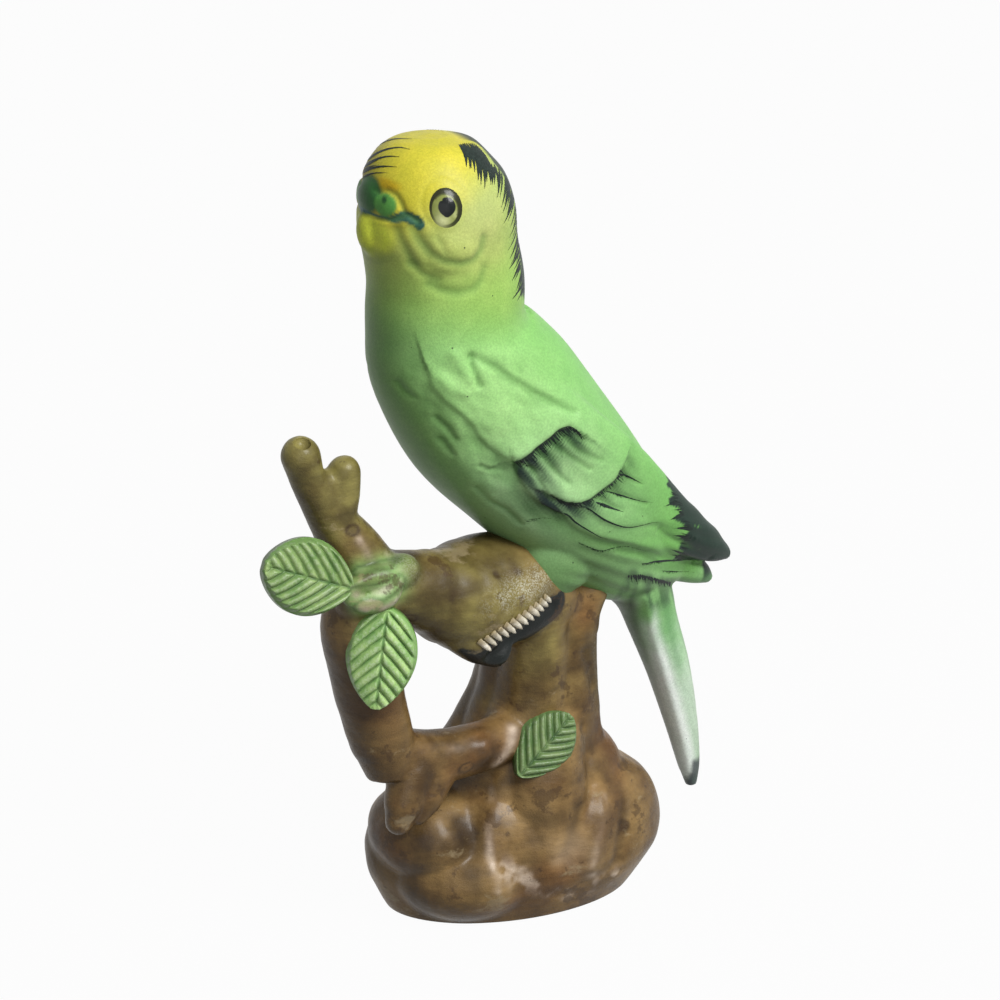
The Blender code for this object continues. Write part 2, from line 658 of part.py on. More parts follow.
def creases(verts):
    """Return the carving of the root folds over the base and the knots of the limbs (mm)."""
    rise = np.zeros(len(verts))
    for half, depth, line in FOLDS:
        best = np.full(len(verts), 1e9)
        line = np.array(line)
        for a, b in zip(line[:-1], line[1:]):
            run = b - a
            t = np.clip(((verts - a) @ run) / (run @ run), 0.0, 1.0)
            best = np.minimum(best, np.linalg.norm(verts - a - t[:, None] * run, axis=1))
        rise -= depth * np.exp(-(best / half) ** 2)
    return rise


def share_out(line, count):
    """Return a number of points evenly shared along a line of spans."""
    line = np.array(line, dtype=float)
    runs = np.linalg.norm(np.diff(line, axis=0), axis=1)
    marks = np.concatenate([[0.0], np.cumsum(runs)])
    at = np.linspace(0.0, marks[-1], count)
    return np.column_stack([np.interp(at, marks, line[:, k]) for k in range(2)])


def leaf_frame(stem, tip, facing):
    """Return a leaf's run, its unit across and its unit outward direction."""
    stem, tip = np.array(stem), np.array(tip)
    run = tip - stem
    across = np.cross(facing, run)
    across /= np.linalg.norm(across)
    out = np.cross(run, across)
    return run, across, out / np.linalg.norm(out)


def leaf_width(half_width, widest, s):
    """Return a leaf's half width at a share of its length."""
    s = np.clip(s, 0.0, 1.0)
    return half_width * np.sin(math.pi * s ** (math.log(0.5) / math.log(widest))) ** LEAF_FULL + 0.05


def leaf_relief(verts, normals):
    """Return the carving of the midribs and side veins of the leaves (mm)."""
    rise = np.zeros(len(verts))
    for _, stem, tip, facing, half_width, widest in LEAVES:
        run, across, out = leaf_frame(stem, tip, facing)
        length = np.linalg.norm(run)
        gap = verts - np.array(stem)
        s = gap @ run / length ** 2
        t = gap @ across
        height = gap @ out
        width = leaf_width(half_width, widest, s)
        on = (s > 0.02) & (s < 0.98) & (np.abs(t) < width) & (np.abs(height) < 3.2)
        on &= normals @ out > 0.45
        along = s * length
        vein = np.exp(-(t / VEIN_WIDTH) ** 2)
        pitch = length / (LEAF_VEINS + 0.6)
        phase = (along - np.abs(t) * VEIN_RISE * (1.0 + 0.3 * np.abs(t) / width)) / pitch
        away = np.abs(phase - np.round(phase)) * pitch / math.sqrt(1 + VEIN_RISE ** 2)
        side = 0.8 * np.exp(-(away / VEIN_WIDTH) ** 2) * np.clip((width - np.abs(t)) / 1.2, 0.0, 1.0)
        rise -= np.where(on, VEIN_DEPTH * np.maximum(vein, side), 0.0)
    return rise


def carve(obj):
    """Move the skin's points along their normals by the carving."""
    mesh = obj.data
    count = len(mesh.vertices)
    verts = np.empty(count * 3)
    mesh.vertices.foreach_get("co", verts)
    verts = verts.reshape(-1, 3) / MM
    at = verts / np.array(stretch())
    normals = np.empty(count * 3)
    mesh.vertices.foreach_get("normal", normals)
    normals = normals.reshape(-1, 3)
    rise = flank_relief(at, normals) + bark_relief(at, normals) + leaf_relief(at, normals)
    verts += normals * rise[:, None]
    mesh.vertices.foreach_set("co", (verts * MM).ravel())
    mesh.update()


def thin(obj):
    """Cut the facets down to the number handed over, keeping the carving."""
    obj.data.calc_loop_triangles()
    fewer = obj.modifiers.new("fewer", "DECIMATE")
    fewer.decimate_type = "COLLAPSE"
    fewer.use_collapse_triangulate = True
    fewer.ratio = FACETS / len(obj.data.loop_triangles)
    bake(obj)


def main():
    """Build the figurine."""
    for obj in list(bpy.data.objects):
        bpy.data.objects.remove(obj)
    home = fresh_collection("parakeet figurine")
    rough = fresh_collection("rough")
    bird(rough)
    stump(rough)
    obj = fuse("parakeet_figurine", rough, home)
    carve(obj)
    thin(obj)
    paint(obj)
    cut(obj)


def paint(obj):
    """Give each facet the colour of its part."""
    for name, colour in PAINTS:
        paint_slot = bpy.data.materials.new(name)
        paint_slot.use_nodes = True
        shader = paint_slot.node_tree.nodes["Principled BSDF"]
        shader.inputs["Base Color"].default_value = (*colour, 1.0)
        shader.inputs["Roughness"].default_value = PAINT_ROUGHNESS
        obj.data.materials.append(paint_slot)
    for facet in obj.data.polygons:
        middle = np.array(facet.center) / MM / np.array(stretch())
        if above_stump(middle[None])[0] < 0.5:
            facet.material_index = BARK
        elif middle[2] > YELLOW_FROM:
            facet.material_index = YELLOW
        for _, stem, tip, facing, half_width, widest in LEAVES:
            run, across, out = leaf_frame(stem, tip, facing)
            gap = middle - np.array(stem)
            s = gap @ run / (run @ run)
            if -0.02 < s < 1.03 and abs(gap @ across) < 1.06 * leaf_width(half_width, widest, s):
                if abs(gap @ out) < 3.4 and np.array(facet.normal) @ out > 0.1:
                    facet.material_index = LEAF


def cut(obj):
    """Trim the foot flat, sink the vent and hollow the end of the twig."""
    cutters = fresh_collection("cutters")
    cutters.hide_render = True
    x, y, z = stretch()
    block = box("foot block", (0, 0, -20.0), (60.0 * x, 60.0 * y, 20.0), cutters)
    vent = tube("vent drill", (VENT_AT[0] * x, VENT_AT[1] * y, 0.0), VENT_RADIUS, VENT_DEPTH, cutters)
    hollow = lobe("twig hollow", hollow_at(), (HOLLOW_RADIUS,) * 3, cutters)
    for tool in (block, vent, hollow):
        tool.display_type = "WIRE"
        tool.hide_render = True
        tool.data.materials.append(obj.data.materials[BARK])
        trim = obj.modifiers.new(tool.name, "BOOLEAN")
        trim.object = tool
        trim.operation = "DIFFERENCE"
        trim.solver = "EXACT"
        trim.material_mode = "TRANSFER"


def hollow_at():
    """Return the middle of the hollow, on the rounded end of the twig."""
    out = Vector(HOLLOW_LOOK).normalized() * TWIG[0][3]
    return [(a + b) * k for a, b, k in zip(TWIG[0][:3], out, stretch())]


def box(name, centre, half, home):
    """Return a box given by its middle and half sizes."""
    mesh = bpy.data.meshes.new(name)
    bm = bmesh.new()
    bmesh.ops.create_cube(bm, size=2.0)
    place = Matrix.Translation(Vector(centre) * MM) @ Matrix.Diagonal((*[h * MM for h in half], 1.0))
    bmesh.ops.transform(bm, matrix=place, verts=bm.verts)
    bm.to_mesh(mesh)
    bm.free()
    obj = bpy.data.objects.new(name, mesh)
    home.objects.link(obj)
    return obj


def tube(name, centre, radius, reach, home):
    """Return an upright rod reaching up and down from a centre."""
    mesh = bpy.data.meshes.new(name)
    bm = bmesh.new()
    bmesh.ops.create_cone(bm, cap_ends=True, segments=24, radius1=radius * MM, radius2=radius * MM,
                          depth=2 * reach * MM)
    bmesh.ops.translate(bm, vec=Vector(centre) * MM, verts=bm.verts)
    bm.to_mesh(mesh)
    bm.free()
    obj = bpy.data.objects.new(name, mesh)
    home.objects.link(obj)
    return obj


if __name__ == "__main__":
    main()
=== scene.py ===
"""A cast parakeet figurine on a leafy stump: fired bisque, air-brushed and finished with a brush.

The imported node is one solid. Here the same sculpt is modelled at full fineness, as the bird, the
wood, the leaves and the splinters of the torn bark, and each takes its own hand-painted finish.
"""

import logging
import math
from dataclasses import dataclass, field
from enum import Enum

import bmesh
import bpy
import numpy as np
from mathutils import Matrix, Vector
from mathutils.bvhtree import BVHTree


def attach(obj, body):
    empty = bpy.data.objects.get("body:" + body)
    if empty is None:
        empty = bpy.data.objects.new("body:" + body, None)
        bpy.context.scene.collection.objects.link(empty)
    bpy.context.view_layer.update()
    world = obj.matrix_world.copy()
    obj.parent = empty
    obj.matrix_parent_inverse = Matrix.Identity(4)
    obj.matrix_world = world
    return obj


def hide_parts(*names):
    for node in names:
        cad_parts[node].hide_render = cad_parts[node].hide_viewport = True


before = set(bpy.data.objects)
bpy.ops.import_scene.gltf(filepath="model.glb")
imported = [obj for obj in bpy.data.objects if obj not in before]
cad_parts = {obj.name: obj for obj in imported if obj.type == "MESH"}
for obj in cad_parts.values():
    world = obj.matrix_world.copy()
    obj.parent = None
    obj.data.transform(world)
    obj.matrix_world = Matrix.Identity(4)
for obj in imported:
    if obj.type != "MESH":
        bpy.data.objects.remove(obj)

LOG = logging.getLogger("parakeet")
MM = 0.001
NODE = "parakeet_figurine"
BODY = "root"

Row = tuple[float, ...]
Point = tuple[float, float, float]
Flat = tuple[float, float]
Array = np.ndarray
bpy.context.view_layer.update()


class Slot(Enum):
    """The record's material slots."""

    GREEN = "green_bisque"
    BARK = "bark_brown"
    LEAF = "leaf_green"
    BLACK = "black_paint"


class Side(Enum):
    """The two flanks of the bird, as the sign of Y."""

    NEAR = -1
    FAR = 1


def soft(value: Array, low: float, high: float) -> Array:
    """Return a smooth step of each value from nought at low to one at high."""
    t = np.clip((value - low) / (high - low), 0.0, 1.0)
    return t * t * (3.0 - 2.0 * t)


def bump(value: Array, half: float) -> Array:
    """Return a bell of the value, one at nought."""
    return np.exp(-(value / half) ** 2)


def oval(points: Array, centre: Row, radii: Row = (1.0, 1.0, 1.0)) -> Array:
    """Return how far points are from a centre, one on the oval of the radii."""
    return np.linalg.norm((points - np.array(centre)) / radii, axis=1)


def blend(under: Array, over: Row, share: Array) -> Array:
    """Lay a colour over others.

    Args:
        under: colours, one row a point.
        over: the colour laid on.
        share: how much of it covers each point.

    Returns:
        The mixed colours.
    """
    share = np.clip(share, 0.0, 1.0)[:, None]
    return under * (1.0 - share) + np.array(over) * share


def ripple(points: Array, size: float, seed: int) -> Array:
    """Return a smooth random field.

    Args:
        points: where to read it, in millimetres.
        size: width of its patches in millimetres.
        seed: which field.

    Returns:
        A value from about minus one to one at each point.
    """
    rng = np.random.default_rng(seed)
    total = np.zeros(len(points))
    for octave in range(3):
        for _ in range(5):
            way = rng.normal(size=3)
            way *= 2.0 ** octave * 2.4 / size / np.linalg.norm(way)
            total += np.sin(points @ way + rng.uniform(0.0, 6.28)) / 2.0 ** octave
    return total / 4.2


def spread(rows: tuple[Row, ...], steps: int = 6) -> Array:
    """Join the rows of a station list by a smooth line.

    Args:
        rows: the stations.
        steps: points a span.

    Returns:
        The rows along the line.
    """
    pts = np.array(rows, dtype=float)
    ends = np.vstack([2 * pts[0] - pts[1], pts, 2 * pts[-1] - pts[-2]])
    out = []
    for i in range(len(pts) - 1):
        a, b, c, d = ends[i:i + 4]
        for t in np.arange(steps) / steps:
            out.append(0.5 * (2 * b + (c - a) * t + (2 * a - 5 * b + 4 * c - d) * t * t
                              + (3 * b - a - 3 * c + d) * t ** 3))
    out.append(pts[-1])
    return np.array(out)


def share_out(line: tuple[Row, ...], count: int) -> Array:
    """Return a number of points evenly spaced along a line of spans.

    Args:
        line: the corners of the line.
        count: how many points.

    Returns:
        The points, one row each.
    """
    pts = np.array(line, dtype=float)
    marks = np.concatenate([[0.0], np.cumsum(np.linalg.norm(np.diff(pts, axis=0), axis=1))])
    at = np.linspace(0.0, marks[-1], count)
    return np.column_stack([np.interp(at, marks, pts[:, k]) for k in range(pts.shape[1])])


def to_line(points: Array, line: tuple[Row, ...]) -> tuple[Array, Array, Array]:
    """Measure points against a line of spans.

    Args:
        points: the points.
        line: the line, in as many dimensions.

    Returns:
        The distance, the side (one to the left of a flat line) and the share of the way along.
    """
    pts = np.array(line, dtype=float)
    best = np.full(len(points), 1e9)
    side = np.ones(len(points))
    along = np.zeros(len(points))
    runs = np.linalg.norm(np.diff(pts, axis=0), axis=1)
    start = 0.0
    for a, b, length in zip(pts[:-1], pts[1:], runs):
        run = b - a
        gap = points - a
        t = np.clip((gap @ run) / (run @ run), 0.0, 1.0)
        away = np.linalg.norm(gap - t[:, None] * run, axis=1)
        near = away < best
        best[near] = away[near]
        along[near] = (start + t[near] * length) / runs.sum()
        if pts.shape[1] == 2:
            side[near] = np.sign(run[0] * gap[near, 1] - run[1] * gap[near, 0])
        start += length
    return best, side, along


class Graph:
    """A shorthand for a material's node tree."""

    def __init__(self, name: str) -> None:
        """Start an empty Principled material of the name.

        Args:
            name: its name.
        """
        self.material = bpy.data.materials.new(name)
        self.material.use_nodes = True
        self.tree = self.material.node_tree
        self.shader = self.tree.nodes["Principled BSDF"]

    def node(self, kind: str, **sockets: object) -> bpy.types.Node:
        """Add a node.

        Args:
            kind: its type name without the ShaderNode in front.
            sockets: values or links for its inputs, by name with _ for a space.

        Returns:
            The node.
        """
        made = self.tree.nodes.new("ShaderNode" + kind)
        for name, value in sockets.items():
            self.put(made.inputs[name.replace("_", " ")], value)
        return made

    def put(self, socket: bpy.types.NodeSocket, value: object) -> None:
        """Link an output, or set a plain value, on an input.

        Args:
            socket: the input.
            value: an output to link, or a plain value.
        """
        if isinstance(value, bpy.types.NodeSocket):
            self.tree.links.new(value, socket)
        else:
            socket.default_value = value

    def place(self) -> bpy.types.NodeSocket:
        """Return the object's own coordinates."""
        return self.node("TexCoord").outputs["Object"]

    def noise(self, scale: float, detail: float = 3.0, rough: float = 0.55,
              stretch: Point = (1.0, 1.0, 1.0)) -> bpy.types.NodeSocket:
        """Return a noise from nought to one.

        Args:
            scale: patches a metre.
            detail: octaves.
            rough: weight of the finer ones.
            stretch: squeeze along each axis.

        Returns:
            The noise's output.
        """
        turned = self.node("Mapping", Vector=self.place(), Scale=stretch)
        made = self.node("TexNoise", Vector=turned.outputs[0], Scale=scale, Detail=detail,
                         Roughness=rough)
        return made.outputs["Fac"]

    def ramp(self, value: object, low: float, high: float) -> bpy.types.NodeSocket:
        """Return a smooth step of a value between two limits.

        Args:
            value: the value.
            low: where the step starts.
            high: where it ends.

        Returns:
            The step's output.
        """
        made = self.node("MapRange", Value=value)
        made.interpolation_type = "SMOOTHSTEP"
        made.inputs["From Min"].default_value = low
        made.inputs["From Max"].default_value = high
        return made.outputs["Result"]

    def math(self, what: str, a: object, b: object = 0.0) -> bpy.types.NodeSocket:
        """Return one sum of two values.

        Args:
            what: the kind of sum.
            a: the first value.
            b: the second value.

        Returns:
            The sum's output.
        """
        made = self.tree.nodes.new("ShaderNodeMath")
        made.operation = what
        self.put(made.inputs[0], a)
        self.put(made.inputs[1], b)
        return made.outputs[0]

    def mix(self, share: object, a: object, b: object, how: str = "MIX") -> bpy.types.NodeSocket:
        """Return two colours mixed.

        Args:
            share: how much of the second colour.
            a: the first colour.
            b: the second colour.
            how: the way of mixing.

        Returns:
            The mixed colour's output.
        """
        made = self.tree.nodes.new("ShaderNodeMix")
        made.data_type = "RGBA"
        made.blend_type = how
        self.put(made.inputs["Factor"], share)
        self.put(made.inputs["A"], a)
        self.put(made.inputs["B"], b)
        return made.outputs["Result"]

    def read(self, name: str) -> bpy.types.NodeSocket:
        """Return a painted value of the mesh.

        Args:
            name: the value's name.

        Returns:
            The value's output.
        """
        made = self.tree.nodes.new("ShaderNodeAttribute")
        made.attribute_name = name
        return made.outputs["Fac"]

    def paint(self, name: str = "paint") -> bpy.types.NodeSocket:
        """Return a painted colour of the mesh.

        Args:
            name: the colour's name.

        Returns:
            The colour's output.
        """
        made = self.tree.nodes.new("ShaderNodeVertexColor")
        made.layer_name = name
        return made.outputs["Color"]

    def gloss(self, shine: float, coat: float = 0.0, coat_rough: float = 0.03) -> None:
        """Set the surface's shine and the glaze over it.

        Args:
            shine: the surface's own shine.
            coat: how much glaze.
            coat_rough: how rough the glaze is.
        """
        self.shader.inputs["Specular IOR Level"].default_value = shine
        self.shader.inputs["Coat Weight"].default_value = coat
        self.shader.inputs["Coat Roughness"].default_value = coat_rough

    def relief(self, height: object, strength: float, depth: float) -> None:
        """Roughen the surface by a height.

        Args:
            height: the height's output.
            strength: how strongly.
            depth: what a height of one stands for, in millimetres.
        """
        made = self.node("Bump", Strength=strength, Distance=depth * MM, Height=height)
        self.put(self.shader.inputs["Normal"], made.outputs[0])


@dataclass(frozen=True)
class BisqueFinish:
    """Air-brushed colour over fired bisque, with a fine pearly grain."""

    name: str = "air-brushed bisque"
    roughness: float = 0.40
    grain_scale: float = 5200.0
    mottle_scale: float = 260.0
    speck_scale: float = 520.0
    shine: float = 0.15
    coat: float = 0.10
    coat_rough: float = 0.32
    speck: Row = (0.03, 0.04, 0.02, 1.0)
    speck_half: float = 0.085
    speck_rare: float = 0.93

    def material(self) -> bpy.types.Material:
        """Return the finish as a material that reads the painted colour.

        Returns:
            The material.
        """
        g = Graph(self.name)
        colour = g.paint()
        mottle = g.noise(self.mottle_scale, 4.0, 0.6)
        lighter = g.mix(g.ramp(mottle, 0.35, 0.75), (0.93, 0.95, 0.92, 1), (1.07, 1.04, 1.05, 1))
        colour = g.mix(1.0, colour, lighter, "MULTIPLY")
        dust = g.noise(self.grain_scale * 0.5, 2.0, 0.7)
        colour = g.mix(1.0, colour, g.mix(g.ramp(dust, 0.3, 0.7), (0.90, 0.90, 0.90, 1),
                                          (1.10, 1.10, 1.10, 1)), "MULTIPLY")
        cells = g.node("TexVoronoi", Vector=g.place(), Scale=self.speck_scale)
        pick = g.node("SeparateColor", Color=cells.outputs["Color"]).outputs[0]
        dot = g.math("MULTIPLY", g.math("LESS_THAN", cells.outputs["Distance"], self.speck_half),
                     g.math("GREATER_THAN", pick, self.speck_rare))
        colour = g.mix(g.math("MULTIPLY", dot, 0.8), colour, self.speck)
        g.put(g.shader.inputs["Base Color"], colour)
        g.put(g.shader.inputs["Roughness"],
              g.math("ADD", self.roughness, g.math("MULTIPLY", dust, 0.12)))
        g.gloss(self.shine, self.coat, self.coat_rough)
        grain = g.noise(self.grain_scale, 3.0, 0.65)
        g.relief(g.math("ADD", grain, g.math("MULTIPLY", mottle, 1.6)), 0.55, 0.09)
        return g.material


@dataclass(frozen=True)
class BarkFinish:
    """Brown wash over bisque under a thin satin glaze, darkened in the hollows by pooled wash and
    painted shade, with a dry white that is partly a painted highlight.
    """

    name: str = "washed bark"
    roughness: float = 0.36
    wash_scale: float = 95.0
    streak_scale: float = 240.0
    blot_scale: float = 165.0
    bare_scale: float = 120.0
    fleck_scale: float = 620.0
    dry_scale: float = 3400.0
    grain_scale: float = 2600.0
    shine: float = 0.14
    coat: float = 0.20
    coat_rough: float = 0.25
    blot: Row = (0.050, 0.026, 0.010, 1.0)
    bare: Row = (0.33, 0.26, 0.15, 1.0)
    fleck: Row = (0.03, 0.016, 0.006, 1.0)
    dry: Row = (0.50, 0.49, 0.40, 1.0)

    def material(self) -> bpy.types.Material:
        """Return the finish as a material that reads the painted colour.

        Returns:
            The material.
        """
        g = Graph(self.name)
        wash = g.noise(self.wash_scale, 5.0, 0.62)
        streak = g.noise(self.streak_scale, 4.0, 0.6, (0.45, 0.45, 1.7))
        colour = g.paint()
        tone = g.mix(g.ramp(wash, 0.32, 0.68), (0.55, 0.47, 0.40, 1), (1.28, 1.25, 1.18, 1))
        colour = g.mix(1.0, colour, tone, "MULTIPLY")
        tone = g.mix(g.ramp(streak, 0.3, 0.7), (0.80, 0.78, 0.74, 1), (1.14, 1.12, 1.08, 1))
        colour = g.mix(1.0, colour, tone, "MULTIPLY")
        blots = g.ramp(g.noise(self.blot_scale, 5.0, 0.68), 0.585, 0.64)
        colour = g.mix(g.math("MULTIPLY", blots, 0.62), colour, self.blot)
        bare = g.ramp(g.noise(self.bare_scale, 6.0, 0.66, (0.8, 0.8, 1.3)), 0.60, 0.68)
        colour = g.mix(g.math("MULTIPLY", bare, 0.50), colour, self.bare)
        flecks = g.ramp(g.noise(self.fleck_scale, 3.0, 0.6), 0.68, 0.72)
        colour = g.mix(g.math("MULTIPLY", flecks, 0.55), colour, self.fleck)
        # The dry white read here is partly dry-brushed paint and partly a painted highlight.
        dry = g.math("MULTIPLY", g.read("dry"),
                     g.ramp(g.noise(self.dry_scale, 3.0, 0.7), 0.46, 0.60))
        colour = g.mix(g.math("MULTIPLY", dry, 0.75), colour, self.dry)
        g.put(g.shader.inputs["Base Color"], colour)
        g.put(g.shader.inputs["Roughness"],
              g.math("ADD", self.roughness, g.math("MULTIPLY", wash, 0.16)))
        g.gloss(self.shine, self.coat, self.coat_rough)
        grain = g.noise(self.grain_scale, 4.0, 0.7)
        g.relief(g.math("ADD", grain, g.math("MULTIPLY", streak, 2.2)), 0.7, 0.16)
        return g.material


@dataclass(frozen=True)
class LeafFinish:
    """Thin leaf green over white bisque, darkened in the veins by pooled wash and painted shade, with a
    painted highlight on the raised lobes, and glazed.
    """

    name: str = "leaf green wash"
    pale: Row = (0.40, 0.58, 0.21, 1.0)
    full: Row = (0.19, 0.36, 0.10, 1.0)
    vein: Row = (0.055, 0.15, 0.035, 1.0)
    crest: Row = (0.60, 0.70, 0.50, 1.0)
    roughness: float = 0.34
    shine: float = 0.2
    coat: float = 0.25
    coat_rough: float = 0.25
    wash_scale: float = 330.0
    pool_scale: float = 420.0
    dry_scale: float = 2100.0
    grain_scale: float = 2400.0

    def material(self) -> bpy.types.Material:
        """Return the finish as a material that reads the leaf's carving.

        Returns:
            The material.
        """
        g = Graph(self.name)
        wash = g.noise(self.wash_scale, 4.0, 0.6)
        colour = g.mix(g.ramp(wash, 0.3, 0.7), self.full, self.pale)
        colour = g.mix(g.read("rim"), colour, self.full)
        faint = g.ramp(g.noise(self.pool_scale, 2.0, 0.5), 0.30, 0.62)
        # Darker in the carved veins: pooled wash together with painted shade.
        scored = g.math("MULTIPLY", g.ramp(g.read("vein"), 0.30, 1.0),
                        g.math("ADD", g.math("MULTIPLY", faint, 0.6), 0.25))
        colour = g.mix(scored, colour, self.vein)
        # Painted highlight: a pale colour on the raised lobes between the veins.
        dry = g.math("MULTIPLY", g.read("crest"),
                     g.ramp(g.noise(self.dry_scale, 3.0, 0.7), 0.40, 0.62))
        colour = g.mix(g.math("MULTIPLY", dry, 0.42), colour, self.crest)
        colour = g.mix(1.0, colour, g.paint(), "MULTIPLY")
        g.put(g.shader.inputs["Base Color"], colour)
        g.put(g.shader.inputs["Roughness"],
              g.math("ADD", self.roughness, g.math("MULTIPLY", wash, 0.14)))
        g.gloss(self.shine, self.coat, self.coat_rough)
        g.relief(g.noise(self.grain_scale, 3.0, 0.65), 0.45, 0.1)
        return g.material


@dataclass(frozen=True)
class InkFinish:
    """Black enamel laid with a small dry brush: the load thins along each stroke."""

    name: str = "brushed black"
    colour: Row = (0.010, 0.016, 0.013, 1.0)
    thin: Row = (0.022, 0.034, 0.028, 1.0)
    bristle_scale: float = 2600.0
    roughness: float = 0.42
    shine: float = 0.10

    def material(self) -> bpy.types.Material:
        """Return the finish, broken up where the brush ran dry.

        Returns:
            The material.
        """
        g = Graph(self.name)
        bristle = g.noise(self.bristle_scale, 3.0, 0.7)
        tone = g.mix(g.ramp(bristle, 0.3, 0.7), self.colour, self.thin)
        g.put(g.shader.inputs["Base Color"], tone)
        g.shader.inputs["Roughness"].default_value = self.roughness
        g.gloss(self.shine)
        load = g.read("load")
        cover = g.ramp(g.math("SUBTRACT", g.math("MULTIPLY", load, 1.7), bristle), 0.0, 0.32)
        g.put(g.shader.inputs["Alpha"], cover)
        return g.material


@dataclass(frozen=True)
class EyeFinish:
    """Painted and glazed eye."""

    name: str = "glazed eye"
    roughness: float = 0.30
    shine: float = 0.12
    coat: float = 0.22
    coat_rough: float = 0.16

    def material(self) -> bpy.types.Material:
        """Return the finish as a glossy material that reads the painted colour.

        Returns:
            The material.
        """
        g = Graph(self.name)
        tint = g.mix(g.ramp(g.noise(1800.0, 2.0), 0.3, 0.7), (0.92, 0.92, 0.92, 1),
                     (1.06, 1.06, 1.06, 1))
        g.put(g.shader.inputs["Base Color"], g.mix(1.0, g.paint(), tint, "MULTIPLY"))
        g.shader.inputs["Roughness"].default_value = self.roughness
        g.gloss(self.shine, self.coat, self.coat_rough)
        g.relief(g.noise(2600.0, 2.0), 0.2, 0.04)
        return g.material


@dataclass(frozen=True)
class SplinterFinish:
    """Bare white bisque on the raised splinters, browned at their roots."""

    name: str = "bare splinters"

    def material(self) -> bpy.types.Material:
        """Return the finish as a material that reads the painted colour.

        Returns:
            The material.
        """
        g = Graph(self.name)
        rub = g.ramp(g.noise(1500.0, 3.0, 0.7), 0.35, 0.7)
        g.put(g.shader.inputs["Base Color"],
              g.mix(1.0, g.paint(), g.mix(rub, (0.72, 0.68, 0.6, 1), (1.1, 1.1, 1.1, 1)), "MULTIPLY"))
        g.shader.inputs["Roughness"].default_value = 0.5
        g.relief(g.noise(3000.0, 3.0), 0.4, 0.08)
        return g.material


class Clay:
    """Lumps of clay that are pressed together into one skin."""

    def __init__(self, name: str, voxel: float, ease: int) -> None:
        """Start an empty lump.

        Args:
            name: name of the piece.
            voxel: grid of its skin in millimetres.
            ease: rounds of easing where lumps meet.
        """
        self.name = name
        self.voxel = voxel
        self.ease = ease
        self.bm = bmesh.new()

    def loft(self, rings: list[list[Point]]) -> None:
        """Add a closed skin over rings of points.

        Args:
            rings: the rings, with as many points each.
        """
        count = len(rings[0])
        ends = [np.mean(ring, axis=0) for ring in (rings[0], rings[-1])]
        verts = [self.bm.verts.new(Vector(p) * MM) for ring in rings for p in ring]
        tips = [self.bm.verts.new(Vector(p) * MM) for p in ends]
        last = (len(rings) - 1) * count
        for s in range(count):
            n = (s + 1) % count
            for r in range(len(rings) - 1):
                a = r * count
                self.bm.faces.new((verts[a + s], verts[a + n], verts[a + count + n],
                                   verts[a + count + s]))
            self.bm.faces.new((verts[n], verts[s], tips[0]))
            self.bm.faces.new((verts[last + s], verts[last + n], tips[1]))

    def spine(self, rows: tuple[Row, ...], side: float = 0.0, sides: int = 72) -> None:
        """Add ovals square to a line in the bird's middle plane.

        Args:
            rows: x, z, half depth, half width and, for a wing, its offset.
            side: which way the offset goes.
            sides: points a ring.
        """
        pts = spread(rows)
        run = np.gradient(pts[:, :2], axis=0)
        run /= np.linalg.norm(run, axis=1, keepdims=True)
        turns = np.linspace(0.0, 2 * math.pi, sides, endpoint=False)
        rings = []
        for i, row in enumerate(pts):
            over = (-run[i, 1], run[i, 0])
            shift = side * row[4] if side else 0.0
            rings.append([(row[0] + over[0] * row[2] * math.cos(a), shift + row[3] * math.sin(a),
                           row[1] + over[1] * row[2] * math.cos(a)) for a in turns])
        self.loft(rings)

    def limb(self, rows: tuple[Row, ...], ball_start: bool = True) -> None:
        """Add a branch as a bevelled curve, with a ball at each station.

        Args:
            rows: x, y, z and radius.
            ball_start: whether the first station has its ball too.
        """
        curve = bpy.data.curves.new("limb", "CURVE")
        curve.dimensions = "3D"
        curve.bevel_depth = MM
        curve.bevel_resolution = 14
        curve.use_fill_caps = True
        line = curve.splines.new("POLY")
        pts = spread(rows)
        line.points.add(len(pts) - 1)
        for point, row in zip(line.points, pts):
            point.co = (*[v * MM for v in row[:3]], 1.0)
            point.radius = row[3]
        holder = bpy.data.objects.new("limb", curve)
        bpy.context.scene.collection.objects.link(holder)
        mesh = bpy.data.meshes.new_from_object(
            holder.evaluated_get(bpy.context.evaluated_depsgraph_get()))
        bpy.data.objects.remove(holder)
        tube = bmesh.new()
        tube.from_mesh(mesh)
        bmesh.ops.remove_doubles(tube, verts=tube.verts, dist=0.01 * MM)
        bmesh.ops.recalc_face_normals(tube, faces=tube.faces)
        tube.to_mesh(mesh)
        tube.free()
        self.bm.from_mesh(mesh)
        bpy.data.meshes.remove(mesh)
        for row in rows[0 if ball_start else 1:]:
            self.egg(row[:3], (row[3],) * 3)

    def egg(self, centre: Row, radii: Row) -> None:
        """Add an egg-shaped lobe.

        Args:
            centre: its centre.
            radii: its three radii.
        """
        place = Matrix.Translation(Vector(centre) * MM) @ Matrix.Diagonal(
            (*[r * MM for r in radii], 1.0))
        ball = bmesh.new()
        bmesh.ops.create_uvsphere(ball, u_segments=40, v_segments=24, radius=1.0, matrix=place)
        mesh = bpy.data.meshes.new("egg")
        ball.to_mesh(mesh)
        ball.free()
        self.bm.from_mesh(mesh)
        bpy.data.meshes.remove(mesh)

    def skin(self) -> bpy.types.Object:
        """Return the lumps as one eased skin.

        Returns:
            The piece.
        """
        bmesh.ops.recalc_face_normals(self.bm, faces=self.bm.faces)
        mesh = bpy.data.meshes.new(self.name)
        self.bm.to_mesh(mesh)
        self.bm.free()
        piece = bpy.data.objects.new(self.name, mesh)
        bpy.context.scene.collection.objects.link(piece)
        press = piece.modifiers.new("press", "REMESH")
        press.mode = "VOXEL"
        press.voxel_size = self.voxel * MM
        press.use_smooth_shade = True
        ease = piece.modifiers.new("ease", "SMOOTH")
        ease.factor = 0.5
        ease.iterations = self.ease
        bake(piece)
        return piece


